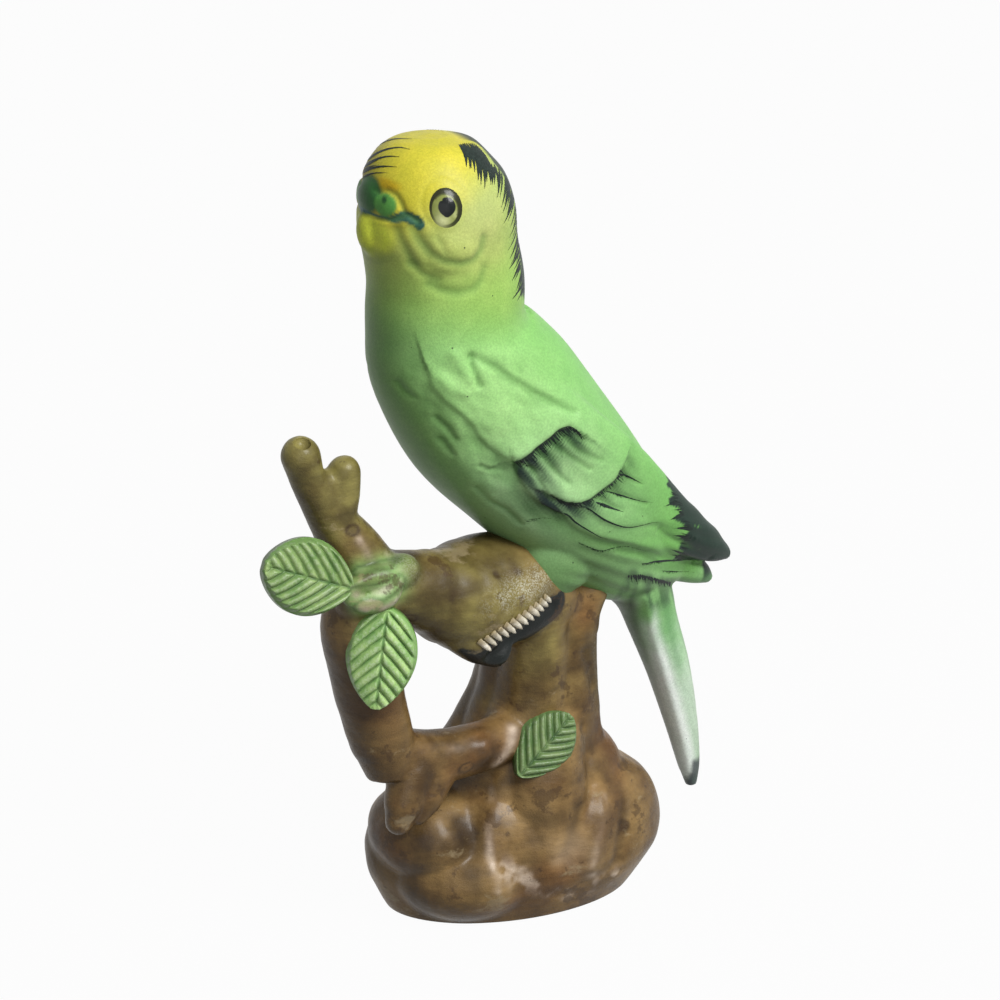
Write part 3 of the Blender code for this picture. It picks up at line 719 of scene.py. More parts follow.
def bake(piece: bpy.types.Object) -> None:
    """Make a piece's modifiers part of its mesh.

    Args:
        piece: the piece.
    """
    graph = bpy.context.evaluated_depsgraph_get()
    mesh = bpy.data.meshes.new_from_object(piece.evaluated_get(graph))
    piece.modifiers.clear()
    old = piece.data
    piece.data = mesh
    bpy.data.meshes.remove(old)


class Skin:
    """The points of a piece as plain arrays in millimetres."""

    def __init__(self, piece: bpy.types.Object) -> None:
        """Read a piece's points and normals.

        Args:
            piece: the piece.
        """
        self.mesh = piece.data
        count = len(self.mesh.vertices)
        self.points = np.empty(count * 3)
        self.mesh.vertices.foreach_get("co", self.points)
        self.points = self.points.reshape(-1, 3) / MM
        self.normals = np.empty(count * 3)
        self.mesh.vertices.foreach_get("normal", self.normals)
        self.normals = self.normals.reshape(-1, 3)

    def lift(self, rise: Array) -> None:
        """Move each point along its normal by so many millimetres.

        Args:
            rise: how far each point moves outwards.
        """
        self.points = self.points + self.normals * rise[:, None]
        self.mesh.vertices.foreach_set("co", (self.points * MM).ravel())
        self.mesh.update()

    def paint(self, colours: Array) -> None:
        """Store a colour at each point.

        Args:
            colours: one row a point.
        """
        layer = self.mesh.color_attributes.new("paint", "FLOAT_COLOR", "POINT")
        full = np.column_stack([np.clip(colours, 0.0, 1.0), np.ones(len(colours))])
        layer.data.foreach_set("color", full.ravel())

    def mark(self, name: str, values: Array) -> None:
        """Store a number at each point."""
        layer = self.mesh.attributes.new(name, "FLOAT", "POINT")
        layer.data.foreach_set("value", np.clip(values, 0.0, 1.0))


def settle(piece: bpy.types.Object, finish: object) -> bpy.types.Object:
    """Dress a piece and hang it on the frame.

    Args:
        piece: the piece.
        finish: its finish.

    Returns:
        The same piece.
    """
    piece.data.materials.clear()
    piece.data.materials.append(finish.material())
    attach(piece, BODY)
    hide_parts(NODE)
    LOG.info("%s: %d faces", piece.name, len(piece.data.polygons))
    return piece


def new_piece(name: str, verts: list, faces: list) -> bpy.types.Object:
    """Return a smooth piece of given points (mm) and faces.

    Args:
        name: its name.
        verts: its points.
        faces: its faces, as rows of point numbers.

    Returns:
        The piece.
    """
    mesh = bpy.data.meshes.new(name)
    mesh.from_pydata([Vector(v) * MM for v in verts], [], faces)
    mesh.shade_smooth()
    mesh.update()
    piece = bpy.data.objects.new(name, mesh)
    bpy.context.scene.collection.objects.link(piece)
    return piece


@dataclass
class Bird:
    """The parakeet: its masses, its carving and its air-brushed colours with painted shade (mm).

    The rows of its masses are x, z, half depth and half width, and a wing's offset to the side.
    Steps and lines are raised edges and grooves on its flanks, with a height and a reach each.
    """

    voxel: float = 0.425
    ease: int = 7
    body: tuple[Row, ...] = (
        (-16.8, 148.8, 3.4, 3.2), (-16.8, 147.2, 8.2, 7.8), (-16.6, 142.0, 12.1, 11.8),
        (-15.7, 135.4, 13.8, 13.6), (-14.8, 128.8, 13.5, 13.4), (-13.9, 122.4, 13.9, 13.6),
        (-14.0, 115.4, 14.2, 14.1), (-12.2, 108.6, 15.8, 15.5), (-5.1, 98.1, 17.5, 17.2),
        (4.0, 87.2, 16.6, 16.4), (11.6, 78.4, 15.4, 15.2), (18.2, 70.4, 13.6, 13.0),
        (24.0, 64.0, 10.4, 9.6), (31.0, 60.6, 6.0, 6.0), (36.5, 59.0, 2.4, 3.0))
    wing: tuple[Row, ...] = (
        (-13.4, 108.6, 2.2, 2.0, 12.6), (-10.4, 105.4, 5.6, 3.0, 13.0), (-3.8, 99.6, 7.8, 3.6, 13.6),
        (3.6, 92.6, 8.4, 3.6, 13.4), (11.4, 85.4, 8.6, 3.6, 12.2), (19.4, 78.2, 7.8, 3.4, 10.0),
        (27.6, 71.8, 6.0, 3.2, 7.4), (35.2, 66.6, 4.2, 3.0, 5.0), (41.2, 62.2, 2.8, 2.6, 3.0),
        (45.2, 59.6, 0.9, 1.4, 2.0))
    saddle: tuple[Row, ...] = (
        (2.0, 98.0, 6.0, 8.0), (13.0, 86.0, 8.0, 9.4), (22.0, 77.0, 7.4, 8.0), (31.0, 69.4, 5.4, 5.6),
        (39.0, 63.4, 3.4, 3.6), (44.4, 59.8, 1.2, 2.0))
    under_tip: tuple[Row, ...] = (
        (26.0, 64.0, 5.0, 5.6), (33.4, 60.0, 3.8, 4.4), (39.2, 56.8, 2.7, 3.2), (42.2, 54.6, 1.1, 1.6))
    tail: tuple[Row, ...] = (
        (19.0, 66.0, 7.0, 7.0), (24.4, 59.6, 6.4, 6.6), (27.6, 54.6, 5.6, 6.0), (29.8, 48.3, 4.9, 5.2),
        (33.9, 36.7, 4.2, 4.3), (37.0, 25.2, 3.3, 3.2), (39.0, 15.9, 2.3, 2.2), (39.8, 10.4, 1.1, 1.2))
    lobes: tuple[tuple[Row, Row], ...] = (
        ((-16.8, 0.0, 142.5), (9.2, 8.8, 6.5)), ((-26.4, 0.0, 139.0), (3.2, 5.0, 4.2)),
        ((-27.2, 0.0, 133.4), (3.2, 3.6, 4.6)), ((-23.0, 0.0, 128.2), (4.6, 6.2, 5.2)),
        ((19.6, 0.0, 59.6), (3.8, 5.6, 4.4)))
    twins: tuple[tuple[Row, Row], ...] = (
        ((-17.0, 8.0, 131.6), (7.0, 6.2, 6.6)), ((-18.6, 9.6, 138.6), (3.2, 3.2, 3.6)),
        ((5.6, 6.0, 69.6), (7.8, 5.7, 8.6)))
    steps: tuple[tuple[float, float, tuple[Flat, ...]], ...] = (
        (0.55, 4.5, ((-23.0, 110.6), (-22.4, 108.0), (-20.4, 105.2), (-17.8, 102.8), (-16.2, 100.8),
                     (-15.2, 98.8), (-13.4, 96.4), (-11.2, 94.6), (-8.8, 93.4))),
        (0.60, 3.0, ((-8.8, 92.6), (-8.2, 90.8), (-6.0, 87.0), (-2.8, 83.4), (0.0, 81.8))),
        (0.70, 3.6, ((-8.8, 93.6), (-7.0, 94.4), (-4.8, 95.7), (-2.8, 96.8), (-1.0, 98.0),
                     (1.4, 98.4), (3.6, 96.8))),
        (0.70, 3.6, ((-1.2, 85.4), (1.6, 83.7), (4.6, 83.0), (6.8, 83.4), (9.2, 84.6), (11.6, 85.8),
                     (12.8, 87.4))),
        (0.65, 3.4, ((0.2, 81.6), (2.2, 80.0), (4.8, 77.4), (8.6, 75.0), (12.4, 73.4), (17.0, 71.6),
                     (23.0, 68.0), (30.0, 63.4), (36.0, 60.6))),
        (0.40, 2.6, ((4.2, 82.0), (6.8, 80.4), (9.6, 78.0), (13.6, 76.0), (18.4, 75.0),
                     (24.0, 73.4), (32.0, 68.4))))
    lines: tuple[tuple[float, float, tuple[Flat, ...]], ...] = (
        (0.80, 0.36, ((-26.9, 135.5), (-26.5, 133.6), (-25.6, 131.4), (-24.8, 129.6))),
        (0.80, 0.30, ((-24.8, 129.4), (-23.4, 127.8), (-21.2, 126.9))),
        (0.95, 0.42, ((-25.0, 135.9), (-24.0, 133.6), (-22.6, 131.6), (-20.8, 130.3),
                      (-17.6, 129.6), (-15.3, 130.0), (-13.7, 131.5), (-13.3, 133.6))),
        (0.95, 0.34, ((-22.4, 126.0), (-20.8, 125.0), (-18.0, 124.4), (-15.2, 124.9),
                      (-13.8, 126.2), (-13.2, 128.2))),
        (0.60, 0.20, ((-21.5, 134.6), (-20.4, 131.8))),
        (0.45, 0.55, ((-28.8, 136.7), (-27.8, 136.8), (-26.5, 137.5), (-25.5, 138.2),
                      (-24.2, 137.2))),
        (0.45, 0.40, ((-28.3, 141.0), (-27.2, 141.6), (-26.5, 141.1), (-26.1, 140.0),
                      (-25.9, 138.8))),
        (0.70, 0.50, ((-16.2, 113.3), (-12.2, 111.0), (-8.6, 108.0), (-5.4, 105.6), (-1.8, 103.4),
                      (3.0, 100.4))),
        (0.55, 0.50, ((-16.4, 113.0), (-15.9, 110.2), (-15.0, 107.8))),
        (1.20, -0.55, ((-18.9, 113.4), (-17.7, 111.0), (-16.9, 109.4))),
        (1.00, -0.45, ((-20.9, 109.6), (-19.2, 107.6), (-17.4, 106.8))),
        (0.50, 0.38, ((-21.6, 101.8), (-19.8, 99.7), (-18.5, 97.7))),
        (0.50, 0.30, ((-20.4, 97.4), (-18.4, 94.6))),
        (0.60, 0.25, ((-26.6, 107.7), (-25.7, 106.3), (-24.8, 105.4))),
        (0.50, 0.30, ((-14.2, 92.4), (-12.6, 91.6), (-10.8, 91.2))),
        (0.50, 0.40, ((-7.0, 93.2), (-4.6, 89.8), (-3.0, 86.8), (-0.8, 84.4))),
        (0.50, 0.40, ((-4.9, 95.0), (-1.7, 91.0), (1.8, 87.2))),
        (0.50, 0.36, ((-2.3, 96.2), (1.8, 92.6), (6.2, 89.2))),
        (0.50, 0.30, ((-0.2, 97.2), (3.2, 93.6), (8.6, 90.4))),
        (0.45, 0.30, ((7.6, 83.2), (11.0, 81.0), (14.0, 79.2))),
        (0.45, 0.30, ((9.8, 84.0), (14.6, 81.8), (20.0, 78.8))),
        (0.45, 0.26, ((12.9, 87.4), (14.6, 85.7), (18.2, 83.4))),
        (0.50, 0.26, ((-13.8, 87.6), (-10.8, 84.2), (-8.0, 82.2), (-4.8, 78.8))),
        (0.50, 0.26, ((14.0, 70.6), (19.0, 68.6), (25.0, 64.8))),
        (0.60, 0.34, ((24.0, 72.2), (32.0, 66.0), (39.0, 61.4))),
        (0.80, -0.40, ((25.0, 56.0), (28.0, 46.1), (32.2, 34.2), (35.8, 23.4), (38.4, 14.4))))
    eye: Flat = (-19.8, 139.5)
    eye_size: Flat = (3.2, 3.8)
    patch_low: tuple[Flat, ...] = (
        (-8.6, 92.3), (-7.5, 89.5), (-4.9, 84.9), (-2.0, 82.3), (0.8, 81.3))
    wing_low: tuple[Flat, ...] = (
        (20.6, 66.0), (29.0, 63.4), (34.3, 61.5), (40.0, 59.6), (46.0, 57.8))
    tip_edge: tuple[Flat, ...] = (
        (60.0, 33.6), (62.0, 32.8), (66.5, 31.0), (70.0, 31.0), (73.5, 29.6), (77.0, 28.0),
        (80.0, 26.6))
    nape_half: tuple[Flat, ...] = (
        (114.0, -2.0), (118.5, 0.0), (120.5, 7.0), (122.0, 9.0), (126.0, 8.6), (129.0, 6.8),
        (133.0, 6.0), (138.0, 6.2), (141.0, 6.8), (144.0, 6.4), (147.0, 3.4), (150.0, 1.5))
    mouth: tuple[Row, ...] = (
        (-29.4, 0.0, 137.2), (-28.5, 3.6, 137.0), (-26.8, 6.6, 137.0), (-25.5, 8.3, 137.7),
        (-24.1, 9.8, 137.2), (-23.8, 10.3, 136.6))
    green: Row = (0.175, 0.43, 0.105)
    back_green: Row = (0.21, 0.56, 0.13)
    mint: Row = (0.34, 0.60, 0.22)
    yellow: Row = (0.53, 0.48, 0.042)
    lemon: Row = (0.37, 0.44, 0.10)
    cream: Row = (0.44, 0.49, 0.19)
    lime: Row = (0.29, 0.48, 0.11)
    # painted shade colour for the carved grooves and creases
    groove: Row = (0.08, 0.20, 0.05)
    shadow: Row = (0.060, 0.120, 0.032)
    sage: Row = (0.27, 0.45, 0.22)
    pale_sage: Row = (0.42, 0.66, 0.34)
    ink: Row = (0.005, 0.014, 0.015)
    cere: Row = (0.022, 0.095, 0.022)
    nostril_lobe: Row = (0.085, 0.27, 0.055)
    teal: Row = (0.012, 0.085, 0.075)
    chin_yellow: Row = (0.70, 0.80, 0.08)
    white: Row = (0.80, 0.86, 0.80)

    def build(self) -> bpy.types.Object:
        """Return the bird, carved and painted.

        Returns:
            The piece.
        """
        clay = Clay("bird", self.voxel, self.ease)
        for rows in (self.body, self.saddle, self.under_tip, self.tail):
            clay.spine(rows)
        for side in Side:
            clay.spine(self.wing, side.value)
            for (x, y, z), radii in self.twins:
                clay.egg((x, side.value * y, z), radii)
        for centre, radii in self.lobes:
            clay.egg(centre, radii)
        piece = clay.skin()
        skin = Skin(piece)
        rise = self.carving(skin)
        skin.lift(rise)
        skin.paint(self.colours(skin, rise))
        return settle(piece, BisqueFinish())

    def carving(self, skin: Skin) -> Array:
        """Return how far the carving moves each point outwards.

        Args:
            skin: the bird's points.

        Returns:
            The rise at each point, less than nought in a groove.
        """
        flat = skin.points[:, (0, 2)]
        sideways = np.abs(skin.normals[:, 1])
        facing = np.clip(sideways * 3.0 - 0.3, 0.0, 1.0)
        facing[np.sign(skin.points[:, 1]) != np.sign(skin.normals[:, 1])] = 0.0
        rise = np.zeros(len(flat))
        for height, reach, line in self.steps:
            away, side, _ = to_line(flat, line)
            rise += height * 0.55 * side * np.tanh(away / 0.4) * bump(away, reach)
        for half, depth, line in self.lines:
            rise -= depth * bump(to_line(flat, line)[0], half)
        ring = oval(flat, self.eye, self.eye_size)
        rise -= 0.12 * bump(ring - 1.12, 0.12)
        rise = rise * facing
        x, y, z = skin.points.T
        rise += 0.28 * bump(self.nostril_away(x, y, z), 0.8)
        breast = soft(118.0 - z, 0.0, 8.0) * soft(z, 84.0, 96.0) * soft(6.0 - x, 0.0, 10.0)
        lean = np.column_stack([x * 0.8 + z * 0.6, y, (z * 0.8 - x * 0.6) * 0.5])
        dimples = ripple(lean, 3.0, 31)
        flank = soft(96.0 - z, 0.0, 8.0) * soft(z, 62.0, 70.0) * soft(2.0 - x, 0.0, 8.0)
        rows = np.sin((0.42 * x + 0.86 * z) * 2.3 + 1.3 * ripple(lean, 6.0, 35))
        low = soft(x, 2.0, 8.0) * soft(76.0 - z, 0.0, 4.0) * soft(z, 56.0, 60.0)
        broadside = soft(sideways, 0.45, 0.80)
        plumes = (0.30 * breast + 0.16 * flank) * dimples * broadside + 0.10 * low * rows
        return rise + plumes + 0.03 * ripple(skin.points, 5.0, 32)

    def nostril_away(self, x: Array, y: Array, z: Array) -> Array:
        """Return the distance from the two swellings of the cere, one at their rims."""
        return oval(np.column_stack([x, np.abs(y), z]), (-27.6, 5.2, 139.2), (2.3, 2.5, 2.1))

    def colours(self, skin: Skin, rise: Array) -> Array:
        """Return the air-brushed colour of each point, with painted shade laid over it.

        Args:
            skin: the bird's points.
            rise: the carving at each.

        Returns:
            The colours, one row a point.
        """
        x, y, z = skin.points.T
        flat = skin.points[:, (0, 2)]
        wide = ripple(skin.points, 16.0, 3)
        fine = ripple(skin.points, 3.2, 5)
        out = np.tile(np.array(self.green), (len(x), 1))
        back = soft(x * 0.78 + z * 0.62, 64.0, 84.0) * soft(120.0 - z, 0.0, 10.0)
        out = blend(out, self.back_green, back)
        front = soft(-(x * 0.78 + z * 0.62), -66.0, -50.0)
        out = blend(out, self.mint, 0.55 * front * soft(z, 78.0, 100.0))
        out = blend(out, self.pale_sage, 0.85 * bump(np.hypot(x + 4.0, z - 86.0), 15.0))
        out = blend(out, self.mint, 0.75 * bump(np.hypot(x + 12.0, z - 106.0), 12.0))
        out = blend(out, self.mint, 0.35 * bump(np.hypot(x - 4.0, z - 90.0), 7.0))
        out = blend(out, self.lime, soft(z + wide * 1.2, 112.0, 124.0))
        out = blend(out, self.lemon, soft(z + wide * 1.5 - 0.25 * (x + 16.0), 121.0, 135.0))
        out = blend(out, self.cream, 0.7 * bump(np.hypot(x + 12.5, z - 137.5), 8.0))
        out = blend(out, self.yellow, soft(z + wide * 1.5 - 0.75 * (x + 16.0), 137.0, 147.0))
        out = blend(out, self.lime, 0.5 * soft(x, -12.0, -4.0) * soft(z, 118.0, 126.0))
        # Painted shade: the breast and flanks that turn to the left are darkened towards the shadow
        # colour.
        turned = soft(-skin.normals @ np.array((0.92, 0.0, 0.30)), 0.48, 1.02)
        out = blend(out, self.shadow, 0.64 * turned * soft(z, 56.0, 66.0) * soft(128.0 - z, 0.0, 14.0))
        # Painted shade on the surfaces that face downwards under the body.
        under = soft(-skin.normals[:, 2], 0.10, 0.85) * soft(70.0 - 0.6 * x - z + 40.0, 0.0, 12.0)
        out = blend(out, self.shadow, 0.15 * under)
        away, left, _ = to_line(flat, self.steps[4][2])
        low = (left < 0.0) * soft(away, 0.0, 5.0) * soft(x, -14.0, -4.0) * soft(z, 50.0, 56.0)
        out = blend(out, self.sage, 0.55 * low * (1.0 - 0.8 * soft(-skin.normals[:, 2], 0.5, 0.95)))
        out = blend(out, self.sage, 0.35 * bump(np.hypot(x - 14.0, z - 76.0), 9.0))
        # Painted shadow over the thigh.
        thigh_shadow = bump(np.hypot((x - 6.0) / 1.6, z - 68.0), 8.0)
        out = blend(out, self.shadow, 0.55 * thigh_shadow)
        out = self.face(out, x, y, z, fine)
        out = self.nape(out, x, y, z, fine)
        out = self.bars(out, y, flat, fine)
        out = self.tail_colours(out, x, z, flat, fine)
        # Painted shade: the carved grooves and creases are darkened by their depth.
        return blend(out, self.groove, soft(-rise, 0.06, 0.45) * 0.45)

    def face(self, out: Array, x: Array, y: Array, z: Array, fine: Array) -> Array:
        """Lay on the chin, the cere, the beak and the ochre brow.

        Args:
            out: the colours so far.
            x: each point's x.
            y: its y.
            z: its z.
            fine: a fine ripple for the edges.

        Returns:
            The colours with the face laid on.
        """
        spots = np.column_stack([x, np.abs(y), z])
        chin = oval(spots, (-28.4, 0.0, 133.4), (3.4, 6.8, 4.0))
        out = blend(out, self.chin_yellow, 0.9 * soft(1.25 - chin + 0.1 * fine, 0.0, 0.45))
        low = oval(spots, (-27.6, 0.0, 130.0), (3.0, 5.6, 2.0))
        out = blend(out, (0.17, 0.25, 0.04), 0.5 * soft(1.3 - low + 0.15 * fine, 0.0, 0.7))
        brow = oval(spots, (-26.6, 4.4, 142.4), (2.2, 3.4, 1.2))
        out = blend(out, (0.50, 0.32, 0.01), 0.8 * soft(1.3 - brow + 0.15 * fine, 0.0, 0.8))
        cere = oval(spots, (-28.8, 0.0, 139.9), (3.4, 5.4, 3.5))
        out = blend(out, self.cere, soft(1.12 - cere + 0.10 * fine, 0.0, 0.30))
        lobe = self.nostril_away(x, y, z)
        out = blend(out, self.nostril_lobe, soft(1.1 - lobe + 0.05 * fine, 0.0, 0.25))
        dot = oval(spots, (-27.7, 5.1, 140.0))
        out = blend(out, (0.008, 0.05, 0.015), soft(0.75 - dot, 0.0, 0.35))
        away, _, along = to_line(spots, self.mouth)
        width = 0.55 + 0.55 * soft(along, 0.45, 0.70)
        return blend(out, self.teal, 0.96 * soft(width - away + 0.06 * fine, 0.0, 0.28))

    def nape(self, out: Array, x: Array, y: Array, z: Array, fine: Array) -> Array:
        """Lay the dark band down the back of the head and neck.

        Args:
            out: the colours so far.
            x: each point's x.
            y: its y.
            z: its z.
            fine: a fine ripple for the edges.

        Returns:
            The colours with the band laid on.
        """
        hairs = ripple(np.column_stack([x * 0.3, y * 1.5, z * 0.14]), 1.6, 38)
        half = np.interp(z + 1.8 * hairs, *zip(*self.nape_half))
        band = soft(half + 0.9 - np.abs(y) + 0.5 * fine, -0.3, 0.8) * soft(x, -13.0, -10.0)
        return blend(out, self.ink, 0.97 * band)

    def bars(self, out: Array, y: Array, flat: Array, fine: Array) -> Array:
        """Lay the smoky washes of the wing coverts and the black of the wing tips.

        Args:
            out: the colours so far.
            y: each point's y.
            flat: its x and z.
            fine: a fine ripple for the edges.

        Returns:
            The colours with the wing markings laid on.
        """
        side = soft(np.abs(y), 1.5, 3.0)
        across = flat @ np.array((0.77, 0.64))
        comb = 0.5 + 0.5 * np.sin(across * 2.3 + 0.6 + 0.5 * fine)
        hairs = 0.5 + 0.5 * np.sin(across * 9.5 + 2.0 * fine)
        brushed = np.clip(0.42 + 0.50 * comb + 0.34 * (hairs - 0.5) + 0.22 * fine, 0.0, 1.0)
        border, inner, _ = to_line(flat, self.patch_low)
        within = soft(border * np.sign(inner), -0.4, 0.2)
        for k, reach, wet, kept in ((2, 6.4, 1.0, within), (3, 3.8, 0.95, 1.0)):
            away, left, along = to_line(flat, self.steps[k][2])
            smoke = bump(away, reach * (1.0 - 0.30 * along)) ** 0.6 * (left < 0.0) * brushed * wet
            out = blend(out, self.ink, side * kept * np.clip(smoke * (1.45 - 0.4 * along), 0.0, 0.98))
        away, _, along = to_line(flat, self.patch_low)
        smear = bump(np.maximum(0.0, away - 0.4), 4.2 - 1.6 * along) * within
        smear = smear * np.clip(1.15 - 0.5 * along + 0.3 * fine, 0.0, 1.0) * (0.45 + 0.55 * comb)
        below = soft(94.5 - flat[:, 1], -1.0, 1.0)
        out = blend(out, self.ink, side * np.clip(smear, 0.0, 0.95) * below)
        low = np.array(self.wing_low)
        bottom = np.interp(flat[:, 0], low[:, 0], low[:, 1])
        edge = np.interp(flat[:, 1], *zip(*self.tip_edge))
        u, v = flat @ np.array((0.86, -0.42)), flat @ np.array((0.42, 0.86))
        brush = ripple(np.column_stack([u * 0.22, v * 1.7, v * 0.0]), 1.5, 33)
        inside = flat[:, 0] - edge + 1.0
        tip = soft(inside + 2.0 * brush + 0.4 * fine, -0.25, 0.25)
        gaps = soft(ripple(np.column_stack([u * 0.30, v * 1.9, v * 0.0]), 1.3, 34), 0.7, 1.0)
        tip = tip * (1.0 - 0.85 * gaps * soft(5.5 - inside, 0.0, 2.0))
        tip = tip * soft(flat[:, 1] - bottom, -0.2, 0.25)
        out = blend(out, self.ink, tip * 0.97)
        second = soft(flat[:, 0], 38.9, 39.5) * soft(bottom - flat[:, 1], 0.0, 0.5)
        return blend(out, self.ink, second * 0.95)

    def tail_colours(self, out: Array, x: Array, z: Array, flat: Array, fine: Array) -> Array:
        """Lay the white edge, the streaks, the dark tip and the painted shade on the underside of the
        tail.

        Args:
            out: the colours so far.
            x: each point's x.
            z: its z.
            flat: both of these, one row a point.
            fine: a fine ripple for the edges.

        Returns:
            The colours with the tail's laid on.
        """
        away, left, along = to_line(flat, self.lines[-1][2])
        on_tail = soft(57.5 - z, 0.0, 3.0)
        out = blend(out, (0.24, 0.50, 0.20), on_tail * soft(along, 0.0, 0.2))
        run = np.column_stack([flat @ np.array((0.95, 0.31)), flat @ np.array((0.31, -0.95)) * 0.12,
                               np.zeros(len(x))])
        hairs = np.clip(0.5 + 0.6 * ripple(run, 1.1, 36), 0.0, 1.0)
        out = blend(out, (0.08, 0.22, 0.08), on_tail * (left > 0.0) * hairs * 0.45)
        pale = soft(along + 0.10 * fine, 0.10, 0.62) * np.where(left > 0.0, 0.62, 1.0)
        out = blend(out, self.white, on_tail * pale * (1.0 - 0.35 * hairs * (left > 0.0)))
        edge = bump(np.maximum(0.0, away - 0.4), 1.3 - 0.25 * left)
        out = blend(out, self.white, on_tail * soft(along + 0.1 * fine, 0.05, 0.35) * edge)
        # Painted shade along the underside of the tail, below its ridge.
        under = np.where(left < 0.0, away, 0.0)
        out = blend(out, (0.16, 0.19, 0.15), on_tail * soft(under, 0.6, 2.6) * 0.8)
        tip = on_tail * soft(17.5 + fine - z, 0.0, 2.0) * soft(x - 37.6, 0.2, 1.2)
        out = blend(out, (0.03, 0.04, 0.05), tip * 0.9)
        root = soft(z, 52.0, 55.0) * soft(66.0 - z - 0.55 * (x - 18.0), -0.5, 1.0) * soft(x, 17.0, 19.0)
        return blend(out, self.ink, root * soft(0.5 * fine + hairs, 0.1, 1.0) * 0.60)


@dataclass
class Eyes:
    """The two painted eyes: shallow glazed domes that follow the head (mm)."""

    at: Point = (-19.7, 12.2, 139.45)
    radius: Flat = (3.0, 3.55)
    dome: float = 0.42
    rings: int = 46
    spokes: int = 96
    pupil_at: Flat = (0.05, 0.15)
    pupil: Flat = (1.52, 1.62)
    black: Row = (0.004, 0.006, 0.006)
    lid: Row = (0.020, 0.022, 0.006)
    white: Row = (0.20, 0.23, 0.055)
    cream: Row = (0.52, 0.55, 0.26)

    def build(self, host: BVHTree) -> None:
        """Make both eyes, seated on the bird's skin.

        Args:
            host: the bird's skin.
        """
        for side in Side:
            self.one(side, host)

    def one(self, side: Side, host: BVHTree) -> bpy.types.Object:
        """Return the eye of one side.

        Args:
            side: which side.
            host: the bird's skin.

        Returns:
            The piece.
        """
        start = Vector((self.at[0], side.value * self.at[1], self.at[2])) * MM
        seat, out = host.find_nearest(start)[:2]
        up = (Vector((0.0, 0.0, 1.0)) - out * out.z).normalized()
        back = up.cross(out) * side.value
        if back.x < 0.0:
            back = -back
        verts, colours = [], []
        for r in range(self.rings + 1):
            share = r / self.rings
            for s in range(self.spokes):
                a = 2 * math.pi * s / self.spokes
                u, v = share * math.cos(a) * self.radius[0], share * math.sin(a) * self.radius[1]
                spot, normal = host.find_nearest(seat + (back * u + up * v) * MM)[:2]
                rise = self.dome * (1.0 - share ** 3) - 0.03
                verts.append(np.array(spot) / MM + np.array(normal) * rise)
                colours.append(self.shade(u, v))
        faces = []
        for r in range(self.rings):
            for s in range(self.spokes):
                a, n = r * self.spokes + s, r * self.spokes + (s + 1) % self.spokes
                faces.append((a, n, n + self.spokes, a + self.spokes))
        piece = new_piece(f"eye_{side.name.lower()}", verts, faces)
        Skin(piece).paint(np.array(colours))
        if sum((Vector(p.normal).dot(out) for p in piece.data.polygons), 0.0) < 0.0:
            piece.data.flip_normals()
        return settle(piece, EyeFinish())

    def shade(self, u: float, v: float) -> Array:
        """Return the colour at a place on the eye, u towards the nape and v upwards.

        Args:
            u: how far towards the nape.
            v: how far up.

        Returns:
            The colour.
        """
        x, y = u / self.radius[0], v / self.radius[1]
        ring, turn = math.hypot(x, y), math.atan2(y, x)
        colour = np.array(self.white)
        cream = math.exp(-((u + 0.7) ** 2 + (v + 2.3) ** 2) / 1.6)
        cream = max(cream, 0.55 * math.exp(-((u - 1.4) ** 2 + (v + 1.2) ** 2) / 0.5))
        colour = colour * (1 - cream) + np.array(self.cream) * cream
        thick = 0.29 + 0.08 * math.sin(turn) + 0.08 * math.cos(turn)
        gap = math.exp(-((turn + 2.05) / 0.62) ** 2)
        lid = min(1.0, max(0.0, (ring - (1.0 - thick)) / 0.05)) * (1.0 - 0.92 * gap)
        colour = colour * (1 - lid) + np.array(self.lid) * lid
        inner = math.exp(-((ring - (1.0 - thick)) / 0.035) ** 2) * (turn > -0.6) * (turn < 2.6)
        colour = colour * (1 - 0.7 * inner) + np.array(self.black) * 0.7 * inner
        dx, dy = (u - self.pupil_at[0]) / self.pupil[0], (v - self.pupil_at[1]) / self.pupil[1]
        point = 0.16 * math.exp(-((math.atan2(dy, dx) + 1.57) / 0.35) ** 2)
        notch = 0.16 * math.exp(-((math.atan2(dy, dx) - 2.3) / 0.16) ** 2)
        share = min(1.0, max(0.0, (1.0 + point - notch - math.hypot(dx, dy)) / 0.08))
        return colour * (1 - share) + np.array(self.black) * share


